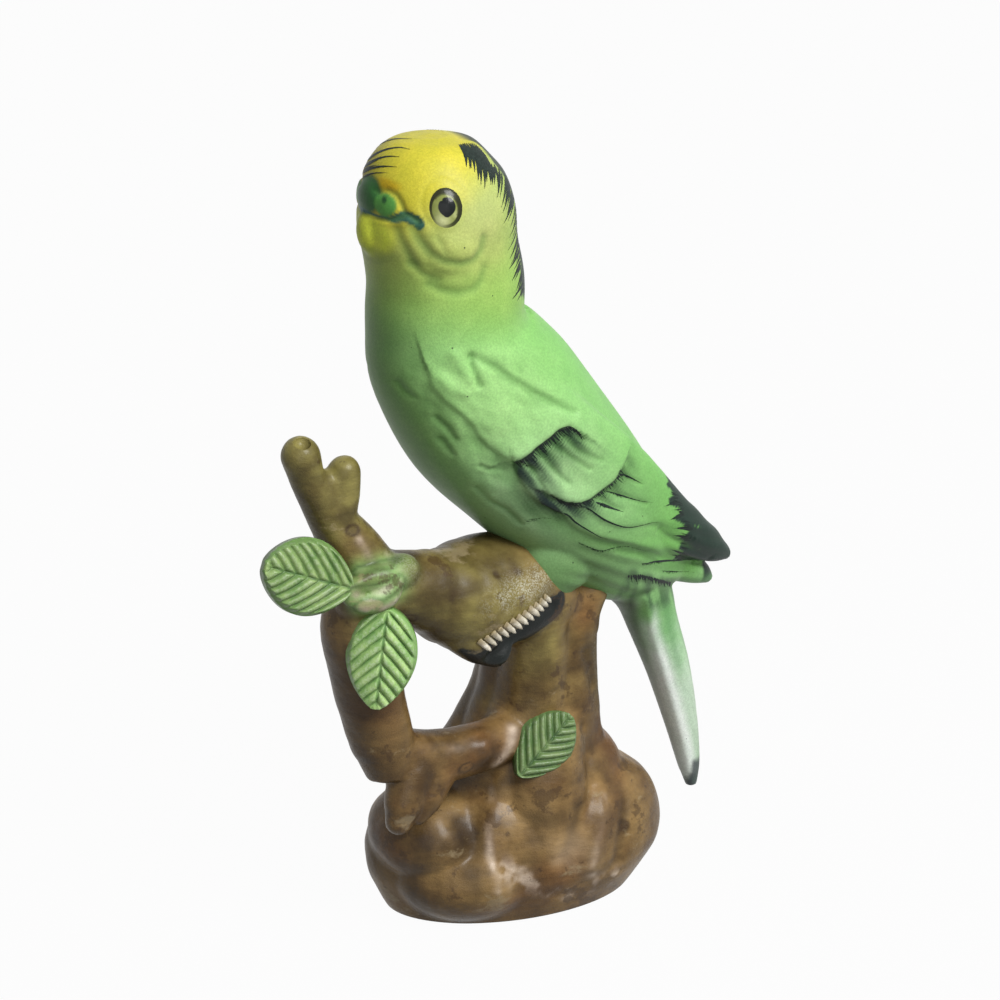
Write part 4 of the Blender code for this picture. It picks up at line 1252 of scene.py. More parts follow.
@dataclass
class Stump:
    """The stump, its limbs and the rounded base (mm).

    A limb's rows are x, y, z and radius, and the mound's are z, x, y and its two half widths.
    """

    voxel: float = 0.43
    ease: int = 15
    limbs: tuple[tuple[Row, ...], ...] = (
        ((9.6, 0.0, 61.0, 6.4), (9.2, -0.4, 54.5, 7.1), (8.4, -0.4, 46.6, 7.6), (8.4, -0.2, 36.2, 8.5),
         (9.0, 0.0, 27.5, 9.3), (10.0, 0.0, 20.0, 12.2), (9.0, 0.0, 12.0, 15.0)),
        ((2.0, -3.8, 57.0, 6.2), (2.6, -2.8, 48.0, 6.6), (2.2, -2.2, 40.0, 7.2),
         (0.4, -2.2, 31.0, 8.6), (-1.6, -2.4, 22.0, 9.6)),
        ((3.0, -4.0, 34.0, 7.0), (2.0, -7.2, 25.0, 8.4), (1.0, -9.2, 14.0, 8.8)),
        ((10.4, -2.0, 54.0, 5.8), (13.6, -3.8, 59.2, 3.6), (15.8, -4.4, 62.2, 1.9)),
        ((-32.4, -8.0, 72.2, 6.0), (-27.2, -8.0, 70.3, 6.4), (-21.8, -7.6, 68.0, 7.5),
         (-17.4, -6.8, 66.0, 8.8), (-12.6, -5.2, 64.4, 10.3), (-6.0, -3.4, 63.4, 10.6),
         (3.0, -1.0, 60.4, 9.0), (9.6, 0.0, 57.0, 7.0)),
        ((-45.7, -8.0, 98.2, 3.6), (-44.6, -8.0, 93.8, 3.2), (-42.2, -8.0, 89.0, 3.5),
         (-39.2, -8.0, 83.8, 4.4), (-35.6, -8.0, 77.6, 5.4), (-31.6, -8.0, 71.0, 6.0)),
        ((-37.6, -8.0, 93.9, 3.0), (-38.2, -8.0, 89.6, 3.3), (-40.0, -8.0, 85.0, 3.9)),
        ((-32.4, -8.0, 73.0, 5.8), (-35.6, -8.0, 65.4, 6.8), (-34.8, -8.0, 57.8, 6.6),
         (-33.4, -8.0, 49.2, 6.1), (-31.6, -8.0, 41.5, 6.0)),
        ((-30.6, -8.0, 38.6, 4.8), (-25.0, -8.0, 35.6, 5.4), (-18.0, -8.0, 34.6, 5.0),
         (-11.5, -7.4, 34.5, 4.8), (-4.0, -5.4, 34.0, 4.8), (6.0, -2.0, 32.0, 6.0)),
        ((4.6, 5.0, 57.0, 5.2), (2.6, 6.4, 48.0, 5.5), (0.4, 7.4, 38.0, 5.4), (-3.6, 7.6, 30.0, 5.8),
         (-8.6, 6.6, 22.0, 7.4)),
        ((1.6, 2.0, 56.0, 5.0), (0.6, 2.4, 47.0, 5.4), (-0.8, 2.8, 38.0, 5.6), (-3.6, 3.0, 30.0, 6.0)),
        ((-26.8, -10.2, 34.0, 4.2), (-29.2, -12.0, 29.4, 3.6), (-30.6, -12.6, 26.4, 2.5)),
        ((-21.8, -10.0, 32.4, 3.8), (-24.6, -12.2, 29.0, 2.8), (-26.6, -13.0, 26.6, 1.8)),
        ((-28.6, -11.6, 74.8, 3.2), (-32.0, -13.6, 75.4, 2.8), (-36.0, -14.2, 75.8, 2.1),
         (-40.6, -14.4, 74.8, 1.6)),
        ((-31.6, -14.2, 74.6, 2.2), (-33.6, -15.2, 72.4, 2.2), (-37.2, -15.2, 71.8, 1.9),
         (-40.2, -14.8, 73.2, 1.4)))
    sawn: tuple[tuple[Row, ...], ...] = (
        ((-7.8, -9.4, 53.6, 3.0), (-12.2, -9.4, 57.0, 4.3), (-16.4, -8.8, 61.2, 4.8)),
        ((-30.4, -9.0, 34.4, 4.5), (-31.0, -8.6, 38.5, 5.3), (-31.8, -8.2, 43.0, 5.8)))
    mound: tuple[Row, ...] = (
        (-8.0, -3.4, -2.2, 19.4, 10.2), (-2.0, -2.6, -1.8, 22.8, 12.6), (2.0, -1.8, -1.2, 25.6, 14.6),
        (8.0, -0.4, -0.2, 28.8, 17.6), (13.0, 0.2, 0.4, 28.8, 18.0), (18.0, 0.6, 0.6, 26.8, 16.6),
        (22.0, 1.0, 0.6, 22.6, 13.6), (25.0, 2.4, 0.4, 15.0, 9.4), (26.6, 4.0, 0.0, 5.0, 4.0))
    mound_turn: float = math.radians(-11.0)
    lobes: tuple[tuple[Row, Row], ...] = (
        ((-11.0, -3.0, 8.0), (16.0, 14.0, 10.0)), ((-18.2, 0.0, 15.6), (11.4, 12.4, 9.4)),
        ((16.0, -2.0, 11.0), (12.0, 13.0, 11.0)), ((-41.4, -8.0, 91.4), (2.8, 2.8, 3.4)),
        ((-35.0, -11.4, 71.4), (6.4, 4.0, 4.6)))
    folds: tuple[tuple[float, float, tuple[Row, ...]], ...] = (
        (2.2, -0.9, ((-6.0, -7.0, 27.0), (-9.4, -9.4, 23.0), (-12.2, -12.4, 19.0), (-12.8, -14.6, 14.0),
                    (-12.6, -16.8, 9.0))),
        (3.0, 0.9, ((-1.6, -12.6, 23.0), (-6.0, -16.6, 16.0), (-6.4, -18.4, 9.0))),
        (2.0, -1.1, ((8.6, -9.6, 33.0), (11.5, -11.6, 27.8), (11.9, -14.2, 22.4), (9.4, -17.0, 16.0),
                    (6.4, -18.4, 10.0))),
        (1.6, 1.1, ((17.8, -12.4, 24.0), (16.9, -14.6, 20.2), (14.6, -17.2, 15.4), (12.4, -18.4, 9.0))),
        (1.8, 0.8, ((5.0, -11.6, 27.6), (4.4, -14.8, 20.4), (1.6, -18.0, 13.0))),
        (3.0, 1.3, ((-16.8, -9.6, 20.6), (-14.8, -12.0, 17.2))),
        (1.1, 1.0, ((10.8, -8.2, 48.6), (12.2, -8.0, 45.6), (13.2, -7.6, 41.6))),
        (1.5, -0.5, ((12.8, -5.8, 54.0), (14.0, -5.4, 47.0), (14.8, -5.4, 39.0), (16.0, -5.4, 30.0))),
        (0.9, 0.8, ((9.7, -9.4, 34.6), (9.9, -9.2, 33.8))),
        (1.6, -0.9, ((-12.6, -12.4, 35.0), (-12.2, -12.0, 37.2))),
        (1.8, -0.8, ((-33.0, -2.0, 77.0), (-30.0, -5.0, 78.0))),
        (0.9, 0.5, ((-37.2, -12.2, 84.8), (-38.8, -12.4, 85.2))),
        (0.8, 0.4, ((-10.6, -13.0, 71.2), (-5.8, -11.6, 69.8))),
        (1.0, 0.9, ((-4.6, -9.6, 54.6), (-3.4, -9.4, 53.4), (-3.2, -9.2, 51.8))))
    tear: tuple[Flat, ...] = (
        (-15.6, 60.2), (-12.8, 61.8), (-9.2, 63.2), (-5.4, 64.4), (-1.6, 65.2))
    tear_tips: tuple[Flat, ...] = (
        (-13.4, 57.8), (-10.8, 59.4), (-7.4, 60.9), (-3.4, 62.3), (0.8, 63.0))
    tear_floor: tuple[Flat, ...] = (
        (-11.4, 55.0), (-8.4, 56.6), (-5.4, 58.4), (-2.0, 60.2), (1.6, 61.8))
    hollow: float = 1.6
    hollow_look: Point = (-0.06, -0.42, 0.90)
    twig: int = 5
    perch_line: tuple[Row, ...] = (
        (-23.2, -14.7, 69.0), (-19.8, -14.8, 67.8), (-15.8, -15.0, 66.8), (-10.4, -14.6, 66.8),
        (-4.5, -13.0, 67.4), (0.6, -10.8, 68.0))
    bark_lines: tuple[tuple[Row, ...], ...] = (
        ((-31.5, -12.0, 78.4), (-31.3, -14.8, 77.7), (-30.2, -16.0, 75.4)),
        ((-37.0, -12.4, 82.6), (-35.8, -13.0, 79.8), (-34.7, -14.0, 78.1)),
        ((-8.7, -8.0, 25.0), (-12.1, -12.6, 19.6), (-12.7, -14.6, 14.2), (-12.6, -17.0, 9.2)),
        ((11.5, -12.4, 27.8), (11.9, -14.4, 22.6), (9.2, -17.0, 16.1), (6.3, -18.4, 10.1)),
        ((-20.0, -12.2, 37.6), (-14.6, -12.2, 38.0)), ((2.0, -16.8, 11.0), (7.0, -18.2, 8.0)))
    stains: tuple[tuple[tuple[Row, ...], float, float], ...] = (
        (((16.9, -14.0, 20.2), (14.5, -17.0, 15.9), (12.3, -18.1, 9.5)), 1.0, 0.85),
        (((-20.0, -8.0, 24.0), (-14.0, -9.4, 24.6), (-6.0, -9.0, 27.0), (2.0, -12.6, 27.4)), 1.2, 0.6),
        (((-26.0, -10.0, 16.0), (-20.0, -14.0, 13.6), (-14.0, -16.0, 12.8)), 1.0, 0.5),
        (((-27.0, -9.0, 12.0), (-20.0, -15.0, 9.6), (-13.0, -17.4, 8.8)), 0.8, 0.45),
        (((-26.0, -8.0, 20.0), (-20.0, -12.0, 18.4)), 1.2, 0.45),
        (((-5.0, -13.6, 21.6), (0.0, -15.0, 20.8), (6.0, -15.2, 21.8)), 0.9, 0.5),
        (((-9.4, -14.6, 20.6), (-9.0, -15.6, 17.6)), 0.8, 0.8),
        (((3.4, -13.4, 25.0), (5.4, -13.4, 26.4)), 0.9, 0.7),
        (((8.0, -8.6, 40.0), (11.4, -9.4, 37.0), (11.0, -10.4, 32.4)), 1.2, 0.5),
        (((-2.0, -10.4, 41.0), (4.0, -9.6, 43.4), (9.6, -8.4, 46.6)), 1.0, 0.4),
        (((-29.0, -12.6, 66.0), (-25.0, -13.6, 65.4)), 1.5, 0.5),
        (((-40.6, -10.6, 87.0), (-37.6, -11.6, 82.0)), 1.0, 0.5))
    foot_line: tuple[Row, ...] = ((-10.4, -15.7, 12.3), (0.4, -17.5, 5.4), (12.3, -17.4, 5.2))
    chip_line: tuple[Row, ...] = ((-9.4, -11.8, 32.0), (-7.2, -11.6, 34.4), (-5.4, -9.6, 37.2))
    swirl: tuple[tuple[Row, ...], ...] = (
        ((-28.8, -12.0, 76.0), (-33.0, -14.0, 77.0), (-37.4, -13.6, 76.6)),
        ((-31.6, -16.2, 74.8), (-35.4, -16.6, 74.0), (-39.6, -16.0, 74.2)),
        ((-31.0, -16.4, 72.6), (-34.6, -17.0, 71.2), (-38.6, -16.4, 71.6)))
    knots: tuple[tuple[Row, float], ...] = (
        ((-37.9, -12.2, 84.6), 1.15), ((-16.8, -12.7, 33.7), 1.2), ((-28.4, -13.4, 66.0), 1.3))
    spots: tuple[tuple[Row, float], ...] = (
        ((-10.3, -12.9, 71.0), 1.0), ((-6.0, -11.7, 69.9), 0.9), ((-20.5, -15.9, 68.9), 1.1),
        ((9.7, -9.4, 34.4), 1.0), ((12.4, -8.0, 45.4), 1.4), ((-4.3, -10.0, 54.2), 1.3),
        ((15.0, -16.6, 15.6), 1.6), ((-15.6, -10.8, 18.8), 2.2), ((-41.0, -12.4, 88.6), 0.7))
    bark: Row = (0.195, 0.128, 0.052)
    olive: Row = (0.190, 0.175, 0.058)
    russet: Row = (0.150, 0.072, 0.024)
    dark: Row = (0.040, 0.024, 0.009)
    black: Row = (0.006, 0.009, 0.009)
    leaf_green: Row = (0.24, 0.44, 0.16)
    sheen: Row = (0.66, 0.62, 0.58)
    bone: Row = (0.58, 0.50, 0.44)

    def build(self) -> bpy.types.Object:
        """Return the wood, carved, washed and cut flat at the foot.

        Returns:
            The piece.
        """
        clay = Clay("stump", self.voxel, self.ease)
        self.press_mound(clay)
        for rows in self.limbs:
            clay.limb(rows)
        for rows in self.sawn:
            clay.limb(rows, ball_start=False)
        for centre, radii in self.lobes:
            clay.egg(centre, radii)
        piece = clay.skin()
        skin = Skin(piece)
        skin.lift(self.carving(skin))
        self.trim(piece)
        skin = Skin(piece)
        colours, dry = self.colours(skin, self.carving(skin))
        skin.paint(colours)
        skin.mark("dry", dry)
        return settle(piece, BarkFinish())

    def press_mound(self, clay: Clay) -> None:
        """Add the base as stacked ovals turned in plan.

        Args:
            clay: the lump it is pressed onto.
        """
        c, s = math.cos(self.mound_turn), math.sin(self.mound_turn)
        turns = np.linspace(0.0, 2 * math.pi, 128, endpoint=False)
        rings = []
        for z, x, y, far, broad in spread(self.mound):
            rings.append([(x + c * far * math.cos(a) - s * broad * math.sin(a),
                           y + s * far * math.cos(a) + c * broad * math.sin(a), z) for a in turns])
        clay.loft(rings)

    def carving(self, skin: Skin) -> Array:
        """Return how far the carving moves each point outwards.

        Args:
            skin: the wood's points.

        Returns:
            The rise at each point, less than nought in a fold.
        """
        x, y, z = skin.points.T
        flat = skin.points[:, (0, 2)]
        rise = 0.22 * ripple(skin.points, 9.0, 11) + 0.08 * ripple(skin.points, 3.0, 12)
        rise *= soft(z, 1.0, 6.0)
        for half, depth, line in self.folds:
            rise -= 0.7 * depth * bump(to_line(skin.points, line)[0], half)
        front = (skin.normals[:, 1] < -0.1) & (y < -5.0) & (z < 67.0) & (z > 49.0)
        floor = to_line(flat, self.tear_floor)[0]
        rise -= np.where(front, 1.3 * bump(floor, 1.5), 0.0)
        return rise

    def colours(self, skin: Skin, rise: Array) -> tuple[Array, Array]:
        """Return the washed colour, with painted shade laid in, and the dry-brushed white of each
        point, partly a painted highlight.

        Args:
            skin: the wood's points.
            rise: the carving at each.

        Returns:
            The colours, one row a point, and the share of dry white at each, which is partly a painted
            highlight.
        """
        x, y, z = skin.points.T
        flat = skin.points[:, (0, 2)]
        wide = ripple(skin.points, 14.0, 21)
        mid = ripple(skin.points, 5.0, 22)
        fine = ripple(skin.points, 1.6, 23)
        out = np.tile(np.array(self.bark), (len(x), 1))
        out = blend(out, self.russet, soft(ripple(skin.points, 10.0, 24), 0.0, 1.2) * 0.8)
        out = blend(out, self.olive, soft(wide + 0.04 * (z - 52.0), -0.2, 1.2) * 0.85)
        out = blend(out, self.olive, 0.8 * soft(z, 80.0, 88.0))
        trunk = bump(z - 54.0, 12.0) * soft(10.0 - x, 0.0, 8.0) * soft(x, -6.0, 0.0)
        out = blend(out, self.olive, 0.7 * trunk)
        # Painted shade on the faces of the wood that turn to the right.
        facing = soft(skin.normals @ np.array((0.80, -0.10, -0.10)), 0.1, 0.9)
        right_shade = (0.45 + 0.55 * soft(z, 24.0, 34.0)) * soft(x, 4.0, 8.0)
        out = blend(out, self.dark, 0.6 * facing * right_shade)
        # Painted shade on the faces that turn downwards and to the left.
        lower = soft(-skin.normals @ np.array((0.55, 0.0, 0.80)), 0.0, 0.8)
        out = blend(out, self.dark, 0.45 * lower)
        streak = ripple(skin.points * (1.0, 1.0, 0.28), 3.4, 25)
        out = blend(out, self.dark, soft(streak + 0.3 * wide, 0.3, 1.3) * 0.45 * soft(z, 14.0, 30.0))
        out = blend(out, self.dark, soft(mid + 0.4 * wide, 0.25, 1.1) * 0.45)
        # Darker in the folds by their depth: pooled wash together with painted shade.
        out = blend(out, self.dark, soft(-rise, 0.12, 0.9) * 0.85)
        # Painted shade on the back of the trunk, away from the front.
        out = blend(out, self.dark, soft(y, 1.0, 7.0) * 0.35 * soft(z, 26.0, 34.0))
        for line, half, amount in self.stains:
            away = to_line(skin.points, line)[0] + 0.3 * fine
            out = blend(out, self.dark, bump(np.maximum(0.0, away), half) * amount)
        # Darker along the top of the perch: painted shadow under the bird together with darker paint,
        # broken up by noise.
        perch_top = soft(z, 67.5, 70.0) * soft(-x, 0.0, 8.0) * soft(x, -34.0, -28.0)
        out = blend(out, self.dark, 0.78 * perch_top * soft(0.6 * mid + 0.5 * wide, -0.7, 0.7))
        limb_top = (soft(44.0 - z, 0.0, 2.0) * soft(z, 30.0, 33.0)
                    * soft(-x, 8.0, 12.0) * soft(x, -29.0, -25.0))
        out = blend(out, self.dark, 0.80 * limb_top * soft(mid + 0.4 * fine, -1.1, 0.4))
        out = blend(out, self.dark, 0.7 * bump(oval(skin.points, (-16.0, -11.0, 19.0)), 3.6))
        out = blend(out, self.dark, 0.45 * bump(z - 49.0, 12.0) * soft(-x, 26.0, 30.0))
        left_side = soft(-x, 6.0, 20.0) * soft(24.0 - z, 0.0, 6.0) * soft(streak + 0.5 * mid, -0.4, 1.0)
        out = blend(out, self.dark, 0.72 * left_side)
        join = bump(oval(skin.points, (-31.2, -15.4, 76.0), (1.3, 1.0, 0.8)), 1.8)
        out = blend(out, self.bone, 0.8 * join * soft(fine + 0.5 * mid, -0.4, 0.6))
        pale = bump(oval(skin.points, (-1.0, -16.6, 13.0), (1.5, 1.0, 0.8)), 5.0)
        out = blend(out, (0.36, 0.27, 0.18), pale * soft(mid + 0.3 * fine, -0.8, 0.6) * 0.7)
        for line in self.bark_lines:
            away = to_line(skin.points, line)[0] + 0.25 * fine
            out = blend(out, self.bone, bump(np.maximum(0.0, away), 0.75) * soft(mid, -0.9, 0.5) * 0.65)
        for line in self.swirl:
            away = to_line(skin.points, line)[0]
            out = blend(out, self.leaf_green, np.minimum(1.0, 1.4 * bump(away, 2.4)) * 0.9)
            # A ring of painted shade in the recess around each stalk, and a painted highlight along its
            # middle.
            out = blend(out, (0.03, 0.075, 0.02), bump(away - 1.55, 0.34) * 0.60)
            out = blend(out, self.sheen, bump(away, 0.75) * soft(fine, -0.6, 0.3) * 0.9)
        for centre, radius in self.knots:
            far = oval(skin.points, centre, (1.25, 1.0, 0.8))
            out = blend(out, self.dark, bump(far - radius, 0.32) * 0.85)
            out = blend(out, self.dark, bump(far, 0.45) * 0.9)
        for centre, radius in self.spots:
            far = oval(skin.points, centre) + 0.35 * fine
            out = blend(out, self.dark, soft(radius - far, -0.3, 0.5) * 0.85)
        front = (skin.normals[:, 1] < 0.25) & (y < -3.0) & (z < 66.5)
        away, left, _ = to_line(flat, self.tear_tips)
        floor = to_line(flat, self.tear_floor)[0]
        hollow = soft(3.9 - floor, 0.0, 0.5) * (left < 0.2) * front * soft(z, 50.0, 51.5)
        lip = to_line(flat, ((-17.4, 57.4), (-15.0, 55.6), (-11.4, 53.6), (-8.0, 52.0)))[0]
        reach = 1.0 + 1.6 * soft(x, -17.0, -12.0)
        hollow = np.maximum(hollow, soft(reach - lip + 0.3 * fine, 0.0, 0.5) * (y < -6.0) * (z < 60.0))
        out = blend(out, self.black, hollow)
        hair = soft(fine + 0.4 * mid, 0.0, 0.8)
        edge = bump(to_line(skin.points, self.chip_line)[0], 1.2)
        out = blend(out, self.bone, edge * 0.9)
        worn = bump(to_line(skin.points, self.foot_line)[0], 1.9) * hair
        out = blend(out, self.bone, worn * 0.8)
        # The dry white is partly dry-brushed paint and partly a painted highlight: it lies along the
        # perch and on the raised crests, and only on faces that turn to the front.
        dry = bump(to_line(skin.points, self.perch_line)[0], 2.6) * soft(mid + 0.4 * fine, -0.9, 0.5)
        dry = dry * soft(x, -17.0, -10.0)
        dry = np.maximum(dry, 0.5 * bump(oval(skin.points, (-29.0, -13.0, 76.5)), 3.0))
        dry = np.maximum(dry, 0.35 * soft(rise, 0.1, 0.5) * soft(wide, 0.0, 1.0))
        return out, dry * soft(-skin.normals[:, 1], -0.3, 0.4)

    def trim(self, piece: bpy.types.Object) -> None:
        """Cut the foot flat and dish the end of the twig.

        Args:
            piece: the wood.
        """
        foot = bpy.data.meshes.new("foot block")
        bm = bmesh.new()
        bmesh.ops.create_cube(bm, size=1.0, matrix=Matrix.Translation((0.0, 0.0, -0.02))
                              @ Matrix.Diagonal((0.12, 0.12, 0.04, 1.0)))
        end = self.limbs[self.twig][0]
        spot = Vector(end[:3]) + Vector(self.hollow_look).normalized() * end[3]
        bmesh.ops.create_uvsphere(bm, u_segments=32, v_segments=16, radius=self.hollow * MM,
                                  matrix=Matrix.Translation(spot * MM))
        bm.to_mesh(foot)
        bm.free()
        tool = bpy.data.objects.new("foot block", foot)
        bpy.context.scene.collection.objects.link(tool)
        cut = piece.modifiers.new("cut", "BOOLEAN")
        cut.object = tool
        cut.operation = "DIFFERENCE"
        cut.solver = "EXACT"
        bake(piece)
        bpy.data.objects.remove(tool)
        piece.data.shade_smooth()


@dataclass
class Leaf:
    """One leaf: a thick arched blade with a scored midrib and side veins (mm)."""

    name: str
    stem: Point
    tip: Point
    facing: Point
    half_width: float
    widest: float = 0.50
    full: float = 0.60
    thick: float = 1.3
    arch: float = 0.9
    steps: int = 110
    veins: int = 7
    vein_half: float = 0.32
    vein_rise: float = 0.85
    depth: float = 0.42
    # painted shade: darkens the whole leaf, more on leaves that lie in less light
    shade: Row = (1.0, 1.0, 1.0)

    def build(self) -> bpy.types.Object:
        """Return the leaf, scored and dressed.

        Returns:
            The piece.
        """
        stem, tip = np.array(self.stem), np.array(self.tip)
        run = tip - stem
        length = np.linalg.norm(run)
        across = np.cross(self.facing, run)
        across /= np.linalg.norm(across)
        out = np.cross(run, across)
        out /= np.linalg.norm(out)
        lean = math.log(0.5) / math.log(self.widest)
        pitch = length / (self.veins + 0.6)
        n = self.steps
        s, t = np.meshgrid(np.linspace(0, 1, n + 1), np.linspace(-1, 1, n + 1), indexing="ij")
        reach = 0.008 + 0.984 * s
        width = self.half_width * np.sin(math.pi * reach ** lean) ** self.full + 0.05
        side = t * width
        along = s * length
        phase = (along - np.abs(side) * self.vein_rise * (1.0 + 0.3 * np.abs(t))) / pitch
        away = np.abs(phase - np.round(phase)) * pitch / math.hypot(1, self.vein_rise)
        edge = np.clip((1.0 - np.abs(t)) / 0.16, 0.0, 1.0)
        score = 0.85 * bump(away, self.vein_half) * edge
        ends = np.clip((1.0 - np.abs(2 * s - 1)) / 0.10, 0.0, 1.0)
        score = np.maximum(score, bump(side, self.vein_half * 1.1)) * ends
        pillow = 0.36 * np.abs(np.sin(math.pi * phase)) * edge * ends
        rim = soft(np.abs(t), 0.72, 1.0)
        body = np.sin(math.pi * np.clip(s, 0.0, 1.0)) ** 0.5
        drop = (self.arch * (t * t * body + 0.6 * (2 * s - 1) ** 2)
                + 0.9 * soft(np.abs(t), 0.86, 1.0) * body)
        rise = pillow - drop - self.depth * score
        mid = (stem + run * s[..., None] + across * side[..., None])
        top = mid + out * (rise + self.thick)[..., None]
        low = mid - out * (self.thick * 0.8 + 0.6 * drop)[..., None]
        verts = np.concatenate([top.reshape(-1, 3), low.reshape(-1, 3)])
        faces, wide, base = [], n + 1, (n + 1) ** 2
        for i in range(n):
            for j in range(n):
                a = i * wide + j
                faces.append((a, a + wide, a + wide + 1, a + 1))
                faces.append((base + a, base + a + 1, base + a + wide + 1, base + a + wide))
        rim_ids = ([j for j in range(n)] + [i * wide + n for i in range(n)]
                   + [n * wide + n - j for j in range(n)] + [(n - i) * wide for i in range(n)])
        for k, a in enumerate(rim_ids):
            b = rim_ids[(k + 1) % len(rim_ids)]
            faces.append((a, b, base + b, base + a))
        piece = new_piece(self.name, verts, faces)
        bm = bmesh.new()
        bm.from_mesh(piece.data)
        bmesh.ops.recalc_face_normals(bm, faces=bm.faces)
        bm.to_mesh(piece.data)
        bm.free()
        skin = Skin(piece)
        low_half = np.zeros(base)
        skin.mark("vein", np.concatenate([score.ravel(), low_half]))
        skin.mark("rim", np.concatenate([rim.ravel(), low_half + 1.0]))
        # The crest mark carries the painted highlight on the raised lobes.
        skin.mark("crest", np.concatenate([(pillow / 0.36 * (1 - score)).ravel(), low_half]))
        skin.paint(np.tile(np.array(self.shade), (2 * base, 1)))
        return settle(piece, LeafFinish(name=f"{self.name} wash"))


@dataclass
class Splinters:
    """The row of torn bark splinters standing over the black hollow (mm)."""

    count: int = 12
    half: float = 0.62
    rise: float = 0.85
    slant: Flat = (0.85, -0.60)
    seed: int = 4
    bone: Row = (0.70, 0.66, 0.56)
    root: Row = (0.30, 0.24, 0.13)

    def build(self, stump: Stump, host: BVHTree) -> bpy.types.Object:
        """Return the splinters as tapered chips seated on the perch.

        Args:
            stump: whose tear they stand on.
            host: the wood's skin.

        Returns:
            The piece.
        """
        rng = np.random.default_rng(self.seed)
        roots = share_out(stump.tear, self.count)
        tips = share_out(stump.tear_tips, self.count)
        verts, faces, colours = [], [], []
        for root, tip in zip(roots, tips):
            foot = root + (tip - root) * 0.30
            end = root + (tip - root) * rng.uniform(0.92, 1.1) + np.array(self.slant) * 0.7
            seat = [self.seat(p, host) for p in (foot, end)]
            if seat[0] is None or seat[1] is None:
                continue
            self.chip(seat[0], seat[1], rng.uniform(0.9, 1.15), verts, faces, colours)
        piece = new_piece("splinters", verts, faces)
        Skin(piece).paint(np.array(colours))
        return settle(piece, SplinterFinish())

    def seat(self, spot: Array, host: BVHTree) -> tuple[Array, Array] | None:
        """Return where a spot, x and z, meets the near face of the wood, with its normal."""
        hit = host.ray_cast(Vector((spot[0], -40.0, spot[1])) * MM, Vector((0.0, 1.0, 0.0)))
        return None if hit[0] is None else (np.array(hit[0]) / MM, np.array(hit[1]))

    def chip(self, root: tuple[Array, Array], tip: tuple[Array, Array], size: float, verts: list,
             faces: list, colours: list) -> None:
        """Add one chip from its root to its tip, a rounded ridge that thickens outwards.

        Args:
            root: where it starts and the wood's normal there.
            tip: where it ends and the normal there.
            size: its size against the common one.
            verts: the points, added to.
            faces: the faces, added to.
            colours: the colours, added to.
        """
        rings, sides = 7, 8
        first = len(verts)
        run = tip[0] - root[0]
        for r in range(rings):
            t = r / (rings - 1)
            out = root[1] * (1 - t) + tip[1] * t
            out /= np.linalg.norm(out)
            across = np.cross(run, out)
            across /= np.linalg.norm(across)
            half = self.half * size * (1.0 - 0.30 * t) * (1.0 if t < 0.95 else 0.6)
            tall = self.rise * size * (0.35 + 0.75 * t)
            for s in range(sides):
                a = 2 * math.pi * s / sides
                verts.append(root[0] + run * t + across * half * math.cos(a)
                             + out * tall * (math.sin(a) * 0.5 + 0.35))
                share = min(1.0, max(0.0, (t - 0.1) / 0.4))
                colours.append(np.array(self.root) * (1 - share) + np.array(self.bone) * share)
        for r in range(rings - 1):
            for s in range(sides):
                a, b = first + r * sides + s, first + r * sides + (s + 1) % sides
                faces.append((a, b, b + sides, a + sides))
        faces.append(tuple(first + s for s in range(sides))[::-1])
        faces.append(tuple(first + (rings - 1) * sides + s for s in range(sides)))


